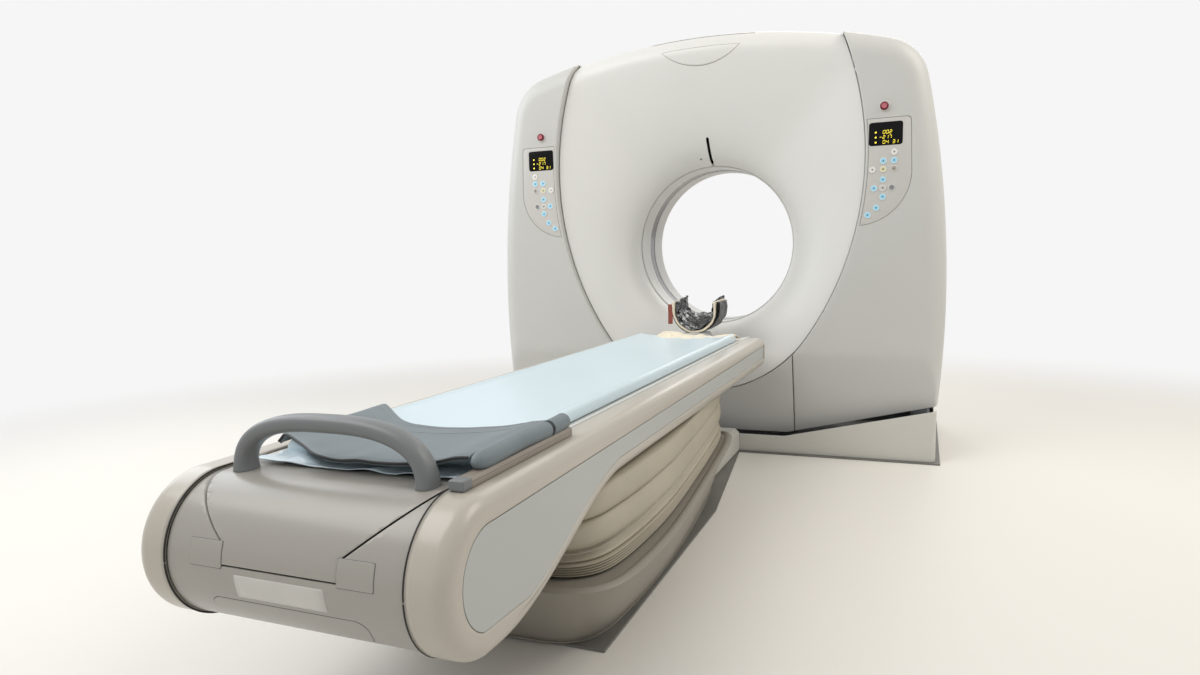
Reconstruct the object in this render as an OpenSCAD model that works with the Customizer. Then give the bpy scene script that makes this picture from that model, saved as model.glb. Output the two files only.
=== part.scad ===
// Tilting ring scanner with its patient couch.
// Frame: Z up, X to the right when facing the opening from the couch, couch towards -Y.
// The origin lies on the floor, straight below the centre of the scan plane.

/* [Gantry housing] */
// Height of the scan centre and of the tilt axis
iso_h = 900; // [880:1:940]
// Largest width across the two towers
housing_w = 1970; // [1950:1:2010]
// Height of the crown above the floor
crown_h = 1790; // [1770:1:1820]
// Depth over the front and rear faces of the towers
housing_d = 850; // [830:1:880]
// Radius of the soft edge round the housing
edge_r = 85; // [60:1:95]
// Radius of the upper corners
corner_r = 200; // [170:1:230]
// Radius of the bowed sides
side_r = 4500; // [4000:50:5200]
// Radius of the arched crown
crown_r = 2736; // [2500:10:3000]
// Height where the sides are widest
side_mid_h = 650; // [600:1:700]
// Wall of the plastic covers
skin = 5; // [4:0.5:7]
// Joint gap between neighbouring covers
seam = 3; // [2:0.5:4]
// How far the towers stand proud of the middle cover
tower_proud = 30; // [20:1:40]

/* [Opening] */
// Diameter of the patient opening
bore_d = 720; // [700:1:740]
// Half length of the straight bore liner
liner_half = 150; // [130:1:170]
// Radius of the long curve of each tower seam
rim_r = 1300; // [1250:5:1350]
// Height of the centre of that curve
rim_h = 1230; // [1200:1:1260]
// Largest half width between the tower seams
rim_half_w = 671; // [655:1:685]
// Radius of the curve that closes the seams below
rim_low_r = 540; // [520:1:560]
// Half width of the lower middle panel
lower_half_w = 393; // [370:1:410]

/* [Keel and plinth] */
// Height of the moving covers above the floor in the middle
keel_h = 78; // [76:1:84]
// Height of their lower edge at the outer ends
keel_end_h = 222; // [210:1:240]
// Half width of the level stretch in the middle
keel_flat = 360; // [330:1:380]
// Height where the faces begin to lean inwards
lean_h = 430; // [400:1:460]
// Lean of the lower faces, in mm inwards for each mm down
lean = 0.25; // [0.24:0.01:0.28]
// How far the plinth stands in from the sides of the housing
plinth_inset = 23; // [17:1:35]
// Height of the plinth in the middle
plinth_h = 79; // [70:1:80]
// Height of the plinth at its ends
plinth_end_h = 211; // [200:1:212]
// Half width of the middle plinth cover
plinth_mid_w = 140; // [120:1:160]
// Thickness of the floor plate
plate_t = 6; // [4:1:8]
// How far the floor plate shows round the plinth
plate_lip = 18; // [10:1:24]

/* [Control panels] */
// Height of the display centres
display_h = 1308; // [1290:1:1330]
// Distance of the display centres from the middle
display_x = 748; // [740:1:756]
// Width of a display window
display_w = 124; // [110:1:128]
// Height of a display window
display_t = 88; // [80:1:92]
// Diameter of a round key
key_d = 26; // [20:1:28]
// Spacing of the key columns
key_pitch = 40; // [36:1:41]
// Travel of a key
key_travel = 1.5; // [1:0.5:2]
// Diameter of an emergency button
stop_d = 32; // [28:1:36]
// Height of the emergency buttons
stop_h = 1412; // [1405:1:1430]

/* [Couch] */
// Height of the top edge of the side covers
deck_h = 516; // [510:1:522]
// Half width over the side covers
couch_half_w = 303; // [295:1:310]
// Half width between the side covers
couch_in_w = 233; // [228:1:238]
// Depth of the slim part of the side covers
beam_t = 119; // [110:1:125]
// Distance of the gantry end of the side covers from the scan plane
couch_near = 510; // [500:1:530]
// Distance of the centre of the round foot end
bulb_y = 2783; // [2760:1:2800]
// Radius of the round foot end
bulb_r = 129; // [120:1:132]
// Radius of the soft outer edge of the side covers
side_edge = 28; // [20:1:32]
// Length of the swept transition under the foot end
sweep_len = 540; // [500:1:580]
// Rise of the couch from its lowest place
lift_travel = 320; // [280:1:320]
// Half width of the sliding tabletop
top_half_w = 227; // [220:1:229]
// Distance of the gantry end of the tabletop
top_near = 480; // [470:1:495]
// Distance of the foot end of the tabletop
top_far = 2690; // [2660:1:2695]
// Thickness of the tabletop shell
top_t = 14; // [12:1:16]
// Depth of the hollow of the tabletop
top_dip = 26; // [20:1:30]
// Thickness of the mat
mat_t = 24; // [20:1:28]
// How much of the rim of the tabletop the mat leaves open on each side
mat_inset = 20; // [14:1:26]
// Greatest height of the grip arch above the deck
grip_rise = 128; // [110:1:140]
// Distance between the feet of the grip arch
grip_span = 336; // [320:1:350]

/* [Couch base] */
// Height of the base cover
base_h = 200; // [190:1:205]
// Largest half width of the base cover at its top
base_half_w = 340; // [320:1:350]
// How far the base cover widens from the floor to its top
base_flare = 70; // [50:1:80]
// Distance of the foot end of the base cover
base_far = 2413; // [2380:1:2430]
// Distance of the gantry end of the base cover
base_near = 940; // [900:1:980]
// Half width of the cable duct to the gantry
duct_half_w = 172; // [160:1:180]
// Height of the cable duct to the gantry
duct_h = 104; // [90:1:108]

/* [Mechanism] */
// Inner radius of the rotor ring
rotor_in_r = 430; // [425:1:440]
// Outer radius of the rotor ring
rotor_out_r = 720; // [700:1:725]
// Bearing radius between rotor and tilt frame
bearing_r = 500; // [480:1:520]
// Radial running clearance of shafts and bearings
run_gap = 0.05; // [0.02:0.01:0.09]
// Gap between a seated piece and its seat
seat_gap = 0.3; // [0.2:0.05:0.4]
// Gear module of the tilt drive
gear_m = 6; // [6:1:6]
// Teeth on a full circle of the tilt sector
sector_teeth = 100; // [100:1:100]
// Teeth of the tilt pinion
pinion_teeth = 16; // [16:1:16]
// Distance of the inner face of the stand posts from the sides of the housing
post_inset = 113; // [109:1:117]
// Thickness of the stand posts
post_t = 60; // [50:1:60]
// Radius of the trunnion pins
trunnion_r = 55; // [45:1:60]

/* [Hidden] */
$fn = 96;

half_d = housing_d / 2;
mid_half_d = half_d - tower_proud;
mid_edge_r = edge_r - 5;
mid_drop = 4;
side_c = [housing_w / 2 - side_r, side_mid_h];
crown_c = [0, crown_h - crown_r];
rim_c = [rim_half_w - rim_r, rim_h];
rim_low_c = [0, rim_h - sqrt(pow(rim_r - rim_low_r, 2) - rim_c[0] * rim_c[0])];
bore_r = bore_d / 2;
plinth_half_w = housing_w / 2 - plinth_inset;
post_x = housing_w / 2 - post_inset;
keel_end_x = 940;
keel_slope = (keel_end_h - keel_h) / (keel_end_x - keel_flat);
plinth_slope = (plinth_end_h - plinth_h) / (keel_end_x - keel_flat);
flange_w = 45;
far = 1200;
eps = 0.01;

// Angle of the direction from point a to point b
function angle_to(a, b) = atan2(b[1] - a[1], b[0] - a[0]);
// A meeting point of two circles, on the chosen side of the line between their centres
function meet(c1, r1, c2, r2, side) =
    let (v = c2 - c1, d = norm(v), a = (r1 * r1 - r2 * r2 + d * d) / (2 * d),
         h = sqrt(r1 * r1 - a * a), e = v / d)
    c1 + a * e + side * h * [-e[1], e[0]];
// Distance from the scan centre, in the direction t, to a circle round it
function reach(t, c, r) =
    let (m = [0, iso_h] - c, d = [cos(t), sin(t)], b = m * d)
    -b + sqrt(b * b - m * m + r * r);
// An arc as a list of points, both ends included
function arc(c, r, a0, a1, n) = [for (i = [0:n]) let (a = a0 + (a1 - a0) * i / n) c + r * [cos(a), sin(a)]];
function flipped(pts) = [for (i = [len(pts) - 1:-1:0]) [-pts[i][0], pts[i][1]]];
function smooth(t) = let (u = min(1, max(0, t))) u * u * (3 - 2 * u);

// Front outline of the moving housing, taken in by d, from the right foot over the crown to the left foot
corner_c = meet(side_c, side_r - corner_r, crown_c, crown_r - corner_r, 1);
corner_a0 = angle_to(side_c, corner_c);
corner_a1 = angle_to(crown_c, corner_c);
function housing_right(d) =
    concat(arc(side_c, side_r - d, -asin((side_mid_h - 40) / side_r), corner_a0, 5),
        [for (i = [1:8]) let (a = corner_a0 + (corner_a1 - corner_a0) * i / 8)
            corner_c + (corner_r - d) * [cos(a), sin(a)]],
        [for (i = [1:5]) let (a = corner_a1 + (90 - corner_a1) * i / 5)
            crown_c + (crown_r - d) * [cos(a), sin(a)]]);
function lowered(p, drop) = [p[0], p[1] - drop * smooth((p[1] - iso_h) / 400)];
function housing_ring(d, drop) =
    let (r = housing_right(d), n = len(r))
    [for (p = concat(r, [for (i = [n - 2:-1:0]) [-r[i][0], r[i][1]]])) lowered(p, drop)];

// A closed mesh through rings of equal length, the ends closed by flat faces
module loft(rings) {
    n = len(rings[0]);
    m = len(rings);
    sides = [for (k = [0:m - 2]) for (i = [0:n - 1]) let (a = k * n + i, b = k * n + (i + 1) % n)
        each [[a, b, b + n], [a, b + n, a + n]]];
    polyhedron(points = [for (r = rings) each r],
        faces = concat(sides, [[for (i = [n - 1:-1:0]) i]], [[for (i = [0:n - 1]) (m - 1) * n + i]]));
}
// A closed mesh through profiles that are placed one after another round a full turn
module ring_loft(profiles) {
    n = len(profiles[0]);
    m = len(profiles);
    polyhedron(points = [for (r = profiles) each r],
        faces = [for (k = [0:m - 1]) for (i = [0:n - 1])
            let (a = k * n + i, b = k * n + (i + 1) % n, c = ((k + 1) % m) * n + i,
                d = ((k + 1) % m) * n + (i + 1) % n)
            each [[a, d, b], [a, c, d]]]);
}
// The outline (x, z) pushed from y0 to y1
module along_y(y0, y1) {
    translate([0, y1, 0]) rotate([90, 0, 0]) linear_extrude(y1 - y0) children();
}
// The outline (y, z) pushed from x0 to x1
module along_x(x0, x1) {
    translate([x0, 0, 0]) rotate([90, 0, 90]) linear_extrude(x1 - x0) children();
}
module both_sides() {
    children();
    mirror([1, 0, 0]) children();
}
module both_faces() {
    children();
    mirror([0, 1, 0]) children();
}

// The full housing as one soft-edged body
module pillow(depth, r, d, drop) {
    steps = 5;
    front = [for (i = [steps:-1:0]) let (a = 90 * i / steps)
        [for (p = housing_ring(d + (r - d) * (1 - cos(a)), drop)) [p[0], -(depth - r) - (r - d) * sin(a),
            p[1]]]];
    back = [for (i = [0:steps]) let (a = 90 * i / steps)
        [for (p = housing_ring(d + (r - d) * (1 - cos(a)), drop)) [p[0], (depth - r) + (r - d) * sin(a),
            p[1]]]];
    loft(concat(front, back));
}
// The leaning lower faces, taken in by d
module lean_profile(d) {
    y = half_d - d;
    foot = y - lean * lean_h;
    polygon([[-foot, 0], [foot, 0], [y, lean_h], [y, 2 * far], [-y, 2 * far], [-y, lean_h]]);
}
module housing_body(d) {
    intersection() {
        pillow(half_d, edge_r, d, 0);
        along_x(-far, far) lean_profile(d);
    }
}
module housing_shell() {
    difference() {
        housing_body(0);
        housing_body(skin);
    }
}
// The middle part of the front, widened by g: between the tower seams and over the lower panel
function centre_right(g) =
    let (a_low = angle_to(rim_c, rim_low_c), top = crown_h + 40,
         a_top = asin((top - rim_h) / (rim_r + g)), x = lower_half_w + g,
         a_end = -acos(x / (rim_low_r + g)))
    concat([[x, -50]], [for (i = [0:2]) rim_low_c + (rim_low_r + g) * [cos(a_end + (a_low - a_end) * i / 2),
            sin(a_end + (a_low - a_end) * i / 2)]],
        [for (i = [1:14]) let (a = a_low + (a_top - a_low) * i / 14) rim_c + (rim_r + g) * [cos(a), sin(a)]]);
module centre_zone(g) {
    r = centre_right(g);
    polygon(concat(r, flipped(r)));
}
// The funnel zone inside the seam, widened by g
function funnel_right(g) =
    let (a_low = angle_to(rim_c, rim_low_c), a_top = asin((crown_h + 40 - rim_h) / (rim_r + g)))
    concat(arc(rim_low_c, rim_low_r + g, -90, a_low, 8),
        [for (i = [1:14]) let (a = a_low + (a_top - a_low) * i / 14) rim_c + (rim_r + g) * [cos(a), sin(a)]]);
module funnel_zone(g) {
    r = funnel_right(g);
    polygon(concat(r, flipped([for (i = [1:len(r) - 1]) r[i]])));
}
// Everything below a line that is level in the middle and climbs to both ends
module below_line(h, slope) {
    polygon([[-far, -50], [far, -50], [far, h + slope * (far - keel_flat)], [keel_flat, h],
        [-keel_flat, h], [-far, h + slope * (far - keel_flat)]]);
}
// A tab with round ends that a cover is screwed by
module lug(x, y, z) {
    translate([x, y, z]) rotate([90, 0, 0]) hull() {
        cylinder(h = 6, r = 13, center = true, $fn = 6);
        translate([0, 22, 0]) cylinder(h = 6, r = 13, center = true, $fn = 6);
    }
}

// Funnel surface: u runs from 0 at the opening to 1 at the seam, t is the direction
function crown_in() = crown_r - mid_edge_r;
function mid_crown_c() = crown_c - [0, mid_drop];
function mid_crown_z(x) = mid_crown_c()[1] + sqrt(crown_r * crown_r - x * x);
rim_corner = meet(rim_c, rim_r, mid_crown_c(), crown_in(), 1);
rim_corner_a = angle_to([0, iso_h], rim_corner);
rim_low_a = angle_to([0, iso_h], rim_c + rim_r * [cos(angle_to(rim_c, rim_low_c)),
    sin(angle_to(rim_c, rim_low_c))]);
function rim_reach(t) =
    let (a = t > 180 ? t - 360 : t, r = abs(a) > 90 ? 180 - abs(a) : abs(a), up = a >= 0)
    up && r > rim_corner_a - eps ? reach(t, mid_crown_c(), crown_in())
        : !up && r > -rim_low_a ? reach(t, rim_low_c, rim_low_r)
        : reach(up ? r : -r, rim_c, rim_r);
mouth_bulge = 0.12;
function mouth_y(u) = -(liner_half + (mid_half_d + 0.3 - liner_half) * ((1 + mouth_bulge) * u - mouth_bulge * u * u * u));
function mouth_r(t, u) = bore_r + (rim_reach(t) - bore_r) * u * u;
function polar(t, r, y) = [r * cos(t), y, iso_h + r * sin(t)];
function funnel_profile(t, n) =
    concat([for (i = [0:n]) polar(t, mouth_r(t, i / n), mouth_y(i / n))],
        [for (i = [n:-1:0]) let (u = i / n) polar(t, mouth_r(t, u) + skin * (1 - u), mouth_y(u) + skin * u)]);
module funnel(columns_top, columns_rest, n) {
    a0 = rim_corner_a;
    a1 = 180 - rim_corner_a;
    ring_loft([for (t = concat([for (i = [0:columns_top - 1]) a0 + (a1 - a0) * i / columns_top],
        [for (i = [0:columns_rest - 1]) a1 + (360 + a0 - a1) * i / columns_rest])) funnel_profile(t, n)]);
}
// The rolled edge of the middle cover under the crown
top_cover_y = mid_half_d - mid_edge_r - 2;
tongue_half_w = 225;
tongue_y = mid_half_d - 46;
module crown_shell() {
    intersection() {
        difference() {
            pillow(mid_half_d, mid_edge_r, 0, mid_drop);
            pillow(mid_half_d, mid_edge_r, skin, mid_drop);
        }
        along_y(-far, far) difference() {
            centre_zone(0);
            translate(mid_crown_c()) circle(r = crown_in() - 3, $fn = 360);
            translate([-far, 0]) square([2 * far, iso_h + 500]);
        }
    }
}
module top_zone(g) {
    translate([-far, -top_cover_y - g, 0]) cube([2 * far, 2 * (top_cover_y + g), 2 * far]);
    translate([-tongue_half_w - g, -tongue_y - g, 0])
        cube([2 * (tongue_half_w + g), 2 * (tongue_y + g), 2 * far]);
}
lug_angles = [-75, -35, -5, 22, 158, 185, 215, 255];
module middle_cover(columns_top, columns_rest, n) {
    funnel(columns_top, columns_rest, n);
    difference() {
        crown_shell();
        top_zone(seam);
        translate([-far, 0, 0]) cube([2 * far, far, 2 * far]);
    }
    for (t = lug_angles) translate([0, mouth_y(0.93) + skin, iso_h]) rotate([0, -t, 0])
        translate([mouth_r(t, 0.93) - 20, 0, 0]) hull() {
            cube([26, 8, 30], center = true);
            translate([6, 10, 0]) cube([14, 8, 24], center = true);
        }
}
slot_w = 13;
slot_low_h = 1266;
slot_top_h = 1372;
module front_cover() {
    color("ivory") difference() {
        middle_cover(16, 52, 8);
        hull() {
            translate([0, 0, slot_low_h + slot_w / 2]) rotate([90, 0, 0])
                cylinder(h = far, d = slot_w, $fn = 16);
            translate([0, 0, slot_top_h - slot_w / 2]) rotate([90, 0, 0])
                cylinder(h = far, d = slot_w, $fn = 16);
        }
    }
}
module lower_zone(g) {
    difference() {
        translate([-lower_half_w, 0]) square([2 * lower_half_w, iso_h]);
        funnel_zone(g);
    }
}
module lower_panel(g) {
    difference() {
        intersection() {
            union() {
                housing_shell();
                intersection() {
                    housing_body(1);
                    along_y(-half_d, -half_d + flange_w + lean * lean_h) difference() {
                        lower_zone(g);
                        offset(delta = -skin) lower_zone(g);
                    }
                }
            }
            along_y(-far, 0) lower_zone(g);
        }
        along_y(-far, far) below_line(keel_h, keel_slope);
    }
}
sill_h = 150;
lug_y = -half_d + skin + 4 + lean * (lean_h - sill_h);
sill_y = lug_y + 3 + seat_gap;
module lower_front_cover() {
    color("gainsboro") {
        lower_panel(seam);
        for (i = [0:7]) lug((i - 3.5) * 90, lug_y, sill_h);
    }
}
module rear_cover() {
    color("ivory") mirror([0, 1, 0]) {
        middle_cover(10, 30, 5);
        lower_panel(-1.5);
    }
}
module top_cover() {
    color("ivory") {
        intersection() {
            crown_shell();
            top_zone(0);
        }
        for (i = [0:7]) let (x = (i - 3.5) * 120)
            hull() for (y = [-120, 120]) translate([x, y, mid_crown_z(x) - skin - 5])
                cube([10, 20, 12], center = true);
    }
}

// Control panel outline on the right tower, widened by g
panel_c = [644, 1160];
panel_r = 202;
panel_top_h = 1368;
panel_inset = 14;
function panel_pts(g) =
    let (r = rim_r + panel_inset - g, a0 = asin((panel_c[1] - panel_r + 3 - rim_h) / r),
        a1 = asin((panel_top_h + g - rim_h) / r))
    concat([for (i = [6:-1:0]) rim_c + r * [cos(a0 + (a1 - a0) * i / 6), sin(a0 + (a1 - a0) * i / 6)]],
        [for (i = [0:8]) panel_c + (panel_r + g) * [cos(-86 + 86 * i / 8), sin(-86 + 86 * i / 8)]],
        [[panel_c[0] + panel_r + g - 22, panel_top_h - 8 + g]]);
module tower_right_shape() {
    difference() {
        intersection() {
            union() {
                housing_shell();
                intersection() {
                    housing_body(1);
                    along_y(-half_d, -half_d + flange_w) centre_zone(seam + skin);
                }
                intersection() {
                    housing_body(1);
                    along_y(half_d - flange_w, half_d) centre_zone(seam + skin);
                }
            }
            translate([lower_half_w, -far, 0]) cube([far, 2 * far, 2 * far]);
        }
        along_y(-far, far) centre_zone(seam);
        along_y(-far, far) below_line(keel_h, keel_slope);
        along_y(-half_d - 1, -half_d + skin + 1) polygon(panel_pts(seat_gap));
        stop_hole(stop_hole_r);
    }
    for (z = [420:140:1400]) hull() {
        translate([tower_rib_x(z), 0, z]) cube([10, 160, 8], center = true);
        translate([tower_rib_x(z) - 6, 0, z]) cube([4, 80, 8], center = true);
    }
    stop_collar();
}
function tower_rib_x(z) = side_c[0] + sqrt(side_r * side_r - (z - side_mid_h) * (z - side_mid_h)) - skin - 4;
stop_hole_r = 6.6;
stop_stem_r = 6;
stop_collar_r = stop_d / 2 + 6;
stop_proud = 9;
stop_travel = 3;
stop_collar_t = 3;
stop_x = 741;
module stop_hole(r) {
    translate([stop_x, -half_d + 30, stop_h]) rotate([90, 0, 0]) cylinder(h = 60, r = r, $fn = 24);
}
module stop_collar() {
    difference() {
        translate([stop_x, -half_d + 1, stop_h]) rotate([90, 0, 0])
            cylinder(h = stop_collar_t + 1, r1 = stop_collar_r, r2 = stop_collar_r - 2, $fn = 28);
        stop_hole(stop_hole_r);
    }
}
module tower_right() {
    color("gainsboro") tower_right_shape();
}
module tower_left() {
    color("gainsboro") mirror([1, 0, 0]) tower_right_shape();
}
// Mushroom button on a stem, with a nut behind the cover
module stop_button() {
    y = -half_d - stop_collar_t - stop_travel - 0.5;
    color("firebrick") translate([stop_x, 0, stop_h]) {
        translate([0, y, 0]) rotate([90, 0, 0]) {
            cylinder(h = stop_proud - 3, d = stop_d);
            translate([0, 0, stop_proud - 3]) cylinder(h = 3, d1 = stop_d, d2 = stop_d - 10);
        }
        translate([0, -half_d + skin + stop_travel + 1, 0]) rotate([90, 0, 0])
            cylinder(h = -half_d + skin + stop_travel + 1 - y, r = stop_stem_r);
        translate([0, -half_d + skin + 4.3, 0]) rotate([90, 0, 0]) cylinder(h = 4, r = stop_stem_r + 4);
    }
}
module estop_right() {
    stop_button();
}
module estop_left() {
    mirror([1, 0, 0]) stop_button();
}

// Places of the keys on the right panel: name, column, height
key_mid_x = 741;
key_mid_h = 1101;
KEYS = ["key_lamp", "key_mark_in", "key_mark_out", "key_home", "key_scan_up", "key_clear",
    "key_up", "key_left", "key_centre", "key_right", "key_down", "key_tilt", "key_free"];
key_rows = [136, 104, 104, 72, 72, 72, 32, 0, 0, 0, -34, -76, -103];
key_cols = [1, 0, 1, -1, 0, 1, 0, -0.83, 0, 0.83, 0, -0.58, -1.37];
function key_at(i) = [key_mid_x + key_cols[i] * key_pitch, key_mid_h + key_rows[i]];
key_gap = 0.5;
key_stem_r = 4;
key_proud = 2.5;
panel_front = half_d - seat_gap;
panel_back_t = 4;
pocket_y = half_d - skin;
module panel_shape() {
    difference() {
        union() {
            along_y(-panel_front, -pocket_y) polygon(panel_pts(0));
            intersection() {
                along_y(-pocket_y, -pocket_y + panel_back_t) polygon(panel_pts(8));
                along_y(-far, far) difference() {
                    square([far, 2 * far]);
                    centre_zone(seam + skin + seat_gap);
                }
            }
        }
        translate([display_x - display_w / 2 - seat_gap, -far, display_h - display_t / 2 - seat_gap])
            cube([display_w + 2 * seat_gap, far - pocket_y - 1, display_t + 2 * seat_gap]);
    }
}
module at_keys() {
    for (i = [0:len(KEYS) - 1]) translate([key_at(i)[0], 0, key_at(i)[1]]) rotate([90, 0, 0]) children();
}
module key(i) {
    color("aliceblue") translate([key_at(i)[0], 0, key_at(i)[1]]) rotate([90, 0, 0]) {
        translate([0, 0, pocket_y + key_travel + 0.3])
            cylinder(h = half_d + key_proud - pocket_y - key_travel - 0.3, d = key_d);
        translate([0, 0, pocket_y - panel_back_t - 4]) cylinder(h = 12, r = key_stem_r);
        translate([0, 0, pocket_y - panel_back_t - 4]) cylinder(h = 3.2, r = key_stem_r + 2.5);
    }
}
module control_panel_right() {
    color("whitesmoke") difference() {
        panel_shape();
        at_keys() {
            translate([0, 0, pocket_y]) cylinder(h = 20, r = key_d / 2 + key_gap);
            cylinder(h = far, r = key_stem_r + run_gap);
        }
    }
}
module control_panel_left() {
    color("whitesmoke") mirror([1, 0, 0]) {
        panel_shape();
        at_keys() translate([0, 0, panel_front - 1]) cylinder(h = key_proud + 1 + seat_gap, d = key_d);
    }
}
module displays() {
    color("black") both_sides() translate([display_x - display_w / 2, -panel_front + 0.8,
        display_h - display_t / 2])
        cube([display_w, panel_front - 0.8 - pocket_y - 1, display_t]);
}

// Liner of the opening with the ray window as a separate ring
liner_t = 6;
window_half = 34;
module bore_liner() {
    color("lightgray") translate([0, 0, iso_h]) rotate([90, 0, 0]) difference() {
        cylinder(h = 2 * (liner_half - seat_gap), r = bore_r - seat_gap, center = true, $fn = 180);
        cylinder(h = 3 * liner_half, r = bore_r - liner_t, center = true, $fn = 180);
        cylinder(h = 2 * window_half, r = bore_r + 1, center = true, $fn = 180);
    }
}
module scan_window() {
    color("dimgray") translate([0, 0, iso_h]) rotate([90, 0, 0]) difference() {
        cylinder(h = 2 * window_half, r = bore_r - seat_gap, center = true, $fn = 180);
        cylinder(h = 3 * liner_half, r = bore_r - liner_t + 2, center = true, $fn = 180);
    }
}

// Floor plate under gantry and couch, with the holes of the four floor anchors
plate_w = plinth_half_w + plate_lip;
plate_d = half_d + plate_lip;
anchor_x = post_x + 30;
anchor_y = 330;
anchor_r = 9;
couch_plate_far = base_far - base_flare - 70;
couch_plate_w = base_half_w - base_flare;
module at_anchors() {
    for (x = [-anchor_x, anchor_x]) for (y = [-anchor_y, anchor_y]) translate([x, y, 0]) children();
}
module floor_plate() {
    color("dimgray") linear_extrude(plate_t) difference() {
        union() {
            square([2 * plate_w, 2 * plate_d], center = true);
            polygon([[-couch_plate_w, -couch_plate_far], [couch_plate_w, -couch_plate_far],
                [couch_plate_w, -base_near - 320], [duct_half_w, -half_d], [-duct_half_w, -half_d],
                [-couch_plate_w, -base_near - 320]]);
        }
        at_anchors() circle(r = anchor_r);
    }
}
// Plinth covers: upright walls with a top edge that follows the gap, and a hollow cradle at the sides
plinth_wall = 4;
plinth_half_d = half_d;
cradle_r = norm([plinth_half_d - plinth_wall, iso_h - plinth_end_h]);
module plinth_outline(d) {
    square([2 * (plinth_half_w - 22), 2 * (plinth_half_d - d)], center = true);
    square([2 * (plinth_half_w - d), 2 * (plinth_half_d - 22)], center = true);
    for (x = [-1, 1]) for (y = [-1, 1]) translate([x * (plinth_half_w - 22), y * (plinth_half_d - 22)])
        circle(r = 22 - d);
}
module plinth_wall_ring() {
    difference() {
        translate([0, 0, plate_t]) linear_extrude(plinth_end_h + 30) difference() {
            plinth_outline(0);
            plinth_outline(plinth_wall);
        }
        both_faces() difference() {
            translate([-far, -far, plate_t]) cube([2 * far, far - plinth_half_d + 30, far]);
            along_y(-far, far) below_line(plinth_h, plinth_slope);
        }
        both_sides() translate([plinth_half_w - 30, 0, 0]) intersection() {
            translate([0, 30 - plinth_half_d, plate_t]) cube([100, 2 * (plinth_half_d - 30), far]);
            translate([0, 0, iso_h]) rotate([0, 90, 0]) cylinder(h = 100, r = cradle_r, $fn = 180);
        }
    }
}
module plinth_side() {
    intersection() {
        plinth_wall_ring();
        translate([plinth_mid_w + seam / 2, -far, 0]) cube([far, 2 * far, far]);
    }
}
module plinth_right() {
    color("whitesmoke") plinth_side();
}
module plinth_left() {
    color("whitesmoke") mirror([1, 0, 0]) plinth_side();
}
module plinth_centre() {
    color("whitesmoke") intersection() {
        plinth_wall_ring();
        translate([seam / 2 - plinth_mid_w, -far, 0]) cube([2 * plinth_mid_w - seam, 2 * far, far]);
    }
}
// Welded stand: cross rails, side feet and the two posts with trunnion bores
rail_y = plinth_half_d - plinth_wall - 6;
rail_w = 40;
rail_h = 64;
foot_h = 96;
pinion_z = iso_h - gear_m * (sector_teeth + pinion_teeth) / 2;
post_head_r = 130;
drive_boss_r = 62;
shaft_r = 16;
module post_profile() {
    difference() {
        union() {
            polygon([[34, foot_h - 1], [200, foot_h - 1], [200, iso_h - 200], [120, iso_h - 50],
                [0, iso_h + 110],
                [-110, iso_h + 70], [-300, iso_h - 140], [-330, iso_h - 180], [-240, iso_h - 388],
                [-112, iso_h - 608], [34, iso_h - 766]]);
            translate([0, iso_h]) circle(r = post_head_r);
        }
        translate([0, iso_h]) circle(r = trunnion_r + run_gap);
        translate([0, pinion_z]) circle(r = shaft_r + run_gap);
        polygon([[80, 250], [150, 250], [150, 430], [80, 430], [0, 430], [-50, 380]]);
        polygon([[-90, 540], [-190, 540], [-250, 680], [-120, 760], [-100, 640]]);
    }
}
module stand_frame() {
    color("slategray") difference() {
        union() {
            both_sides() {
                along_x(post_x, post_x + post_t) post_profile();
                translate([post_x - 12, -rail_y, plate_t]) cube([post_t + 24, 2 * rail_y, foot_h - plate_t]);
            }
            both_faces() translate([-post_x, -rail_y, plate_t]) cube([2 * post_x, rail_w, rail_h]);
        }
        at_anchors() cylinder(h = 3 * foot_h, r = anchor_r, center = true);
    }
}
// Tilt drive: a flat gear motor on the left post, its pinion and the toothed sector
motor_t = 28;
module tilt_motor() {
    color("dimgray") translate([-post_x - post_t, 0, pinion_z]) rotate([0, -90, 0]) difference() {
        union() {
            cylinder(h = motor_t * 0.6, r = 60);
            cylinder(h = motor_t, r = 46);
            for (a = [45:90:315]) rotate(a) translate([52, 0, 0]) cylinder(h = motor_t * 0.6 + 4, r = 5);
        }
        translate([0, 0, -1]) cylinder(h = motor_t * 0.6, r = shaft_r + run_gap);
    }
}
arm_x = post_x - 22;
sector_x = arm_x + seat_gap;
sector_t = 12;
pressure_a = 20;
function involute(a) = tan(a) * 180 / PI - a;
// Half angle of a tooth at radius q, for pitch radius r and angular pitch p
function tooth_half(q, r, p) = 0.22 * p + involute(pressure_a) - involute(acos(min(1,
    r * cos(pressure_a) / q)));
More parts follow.
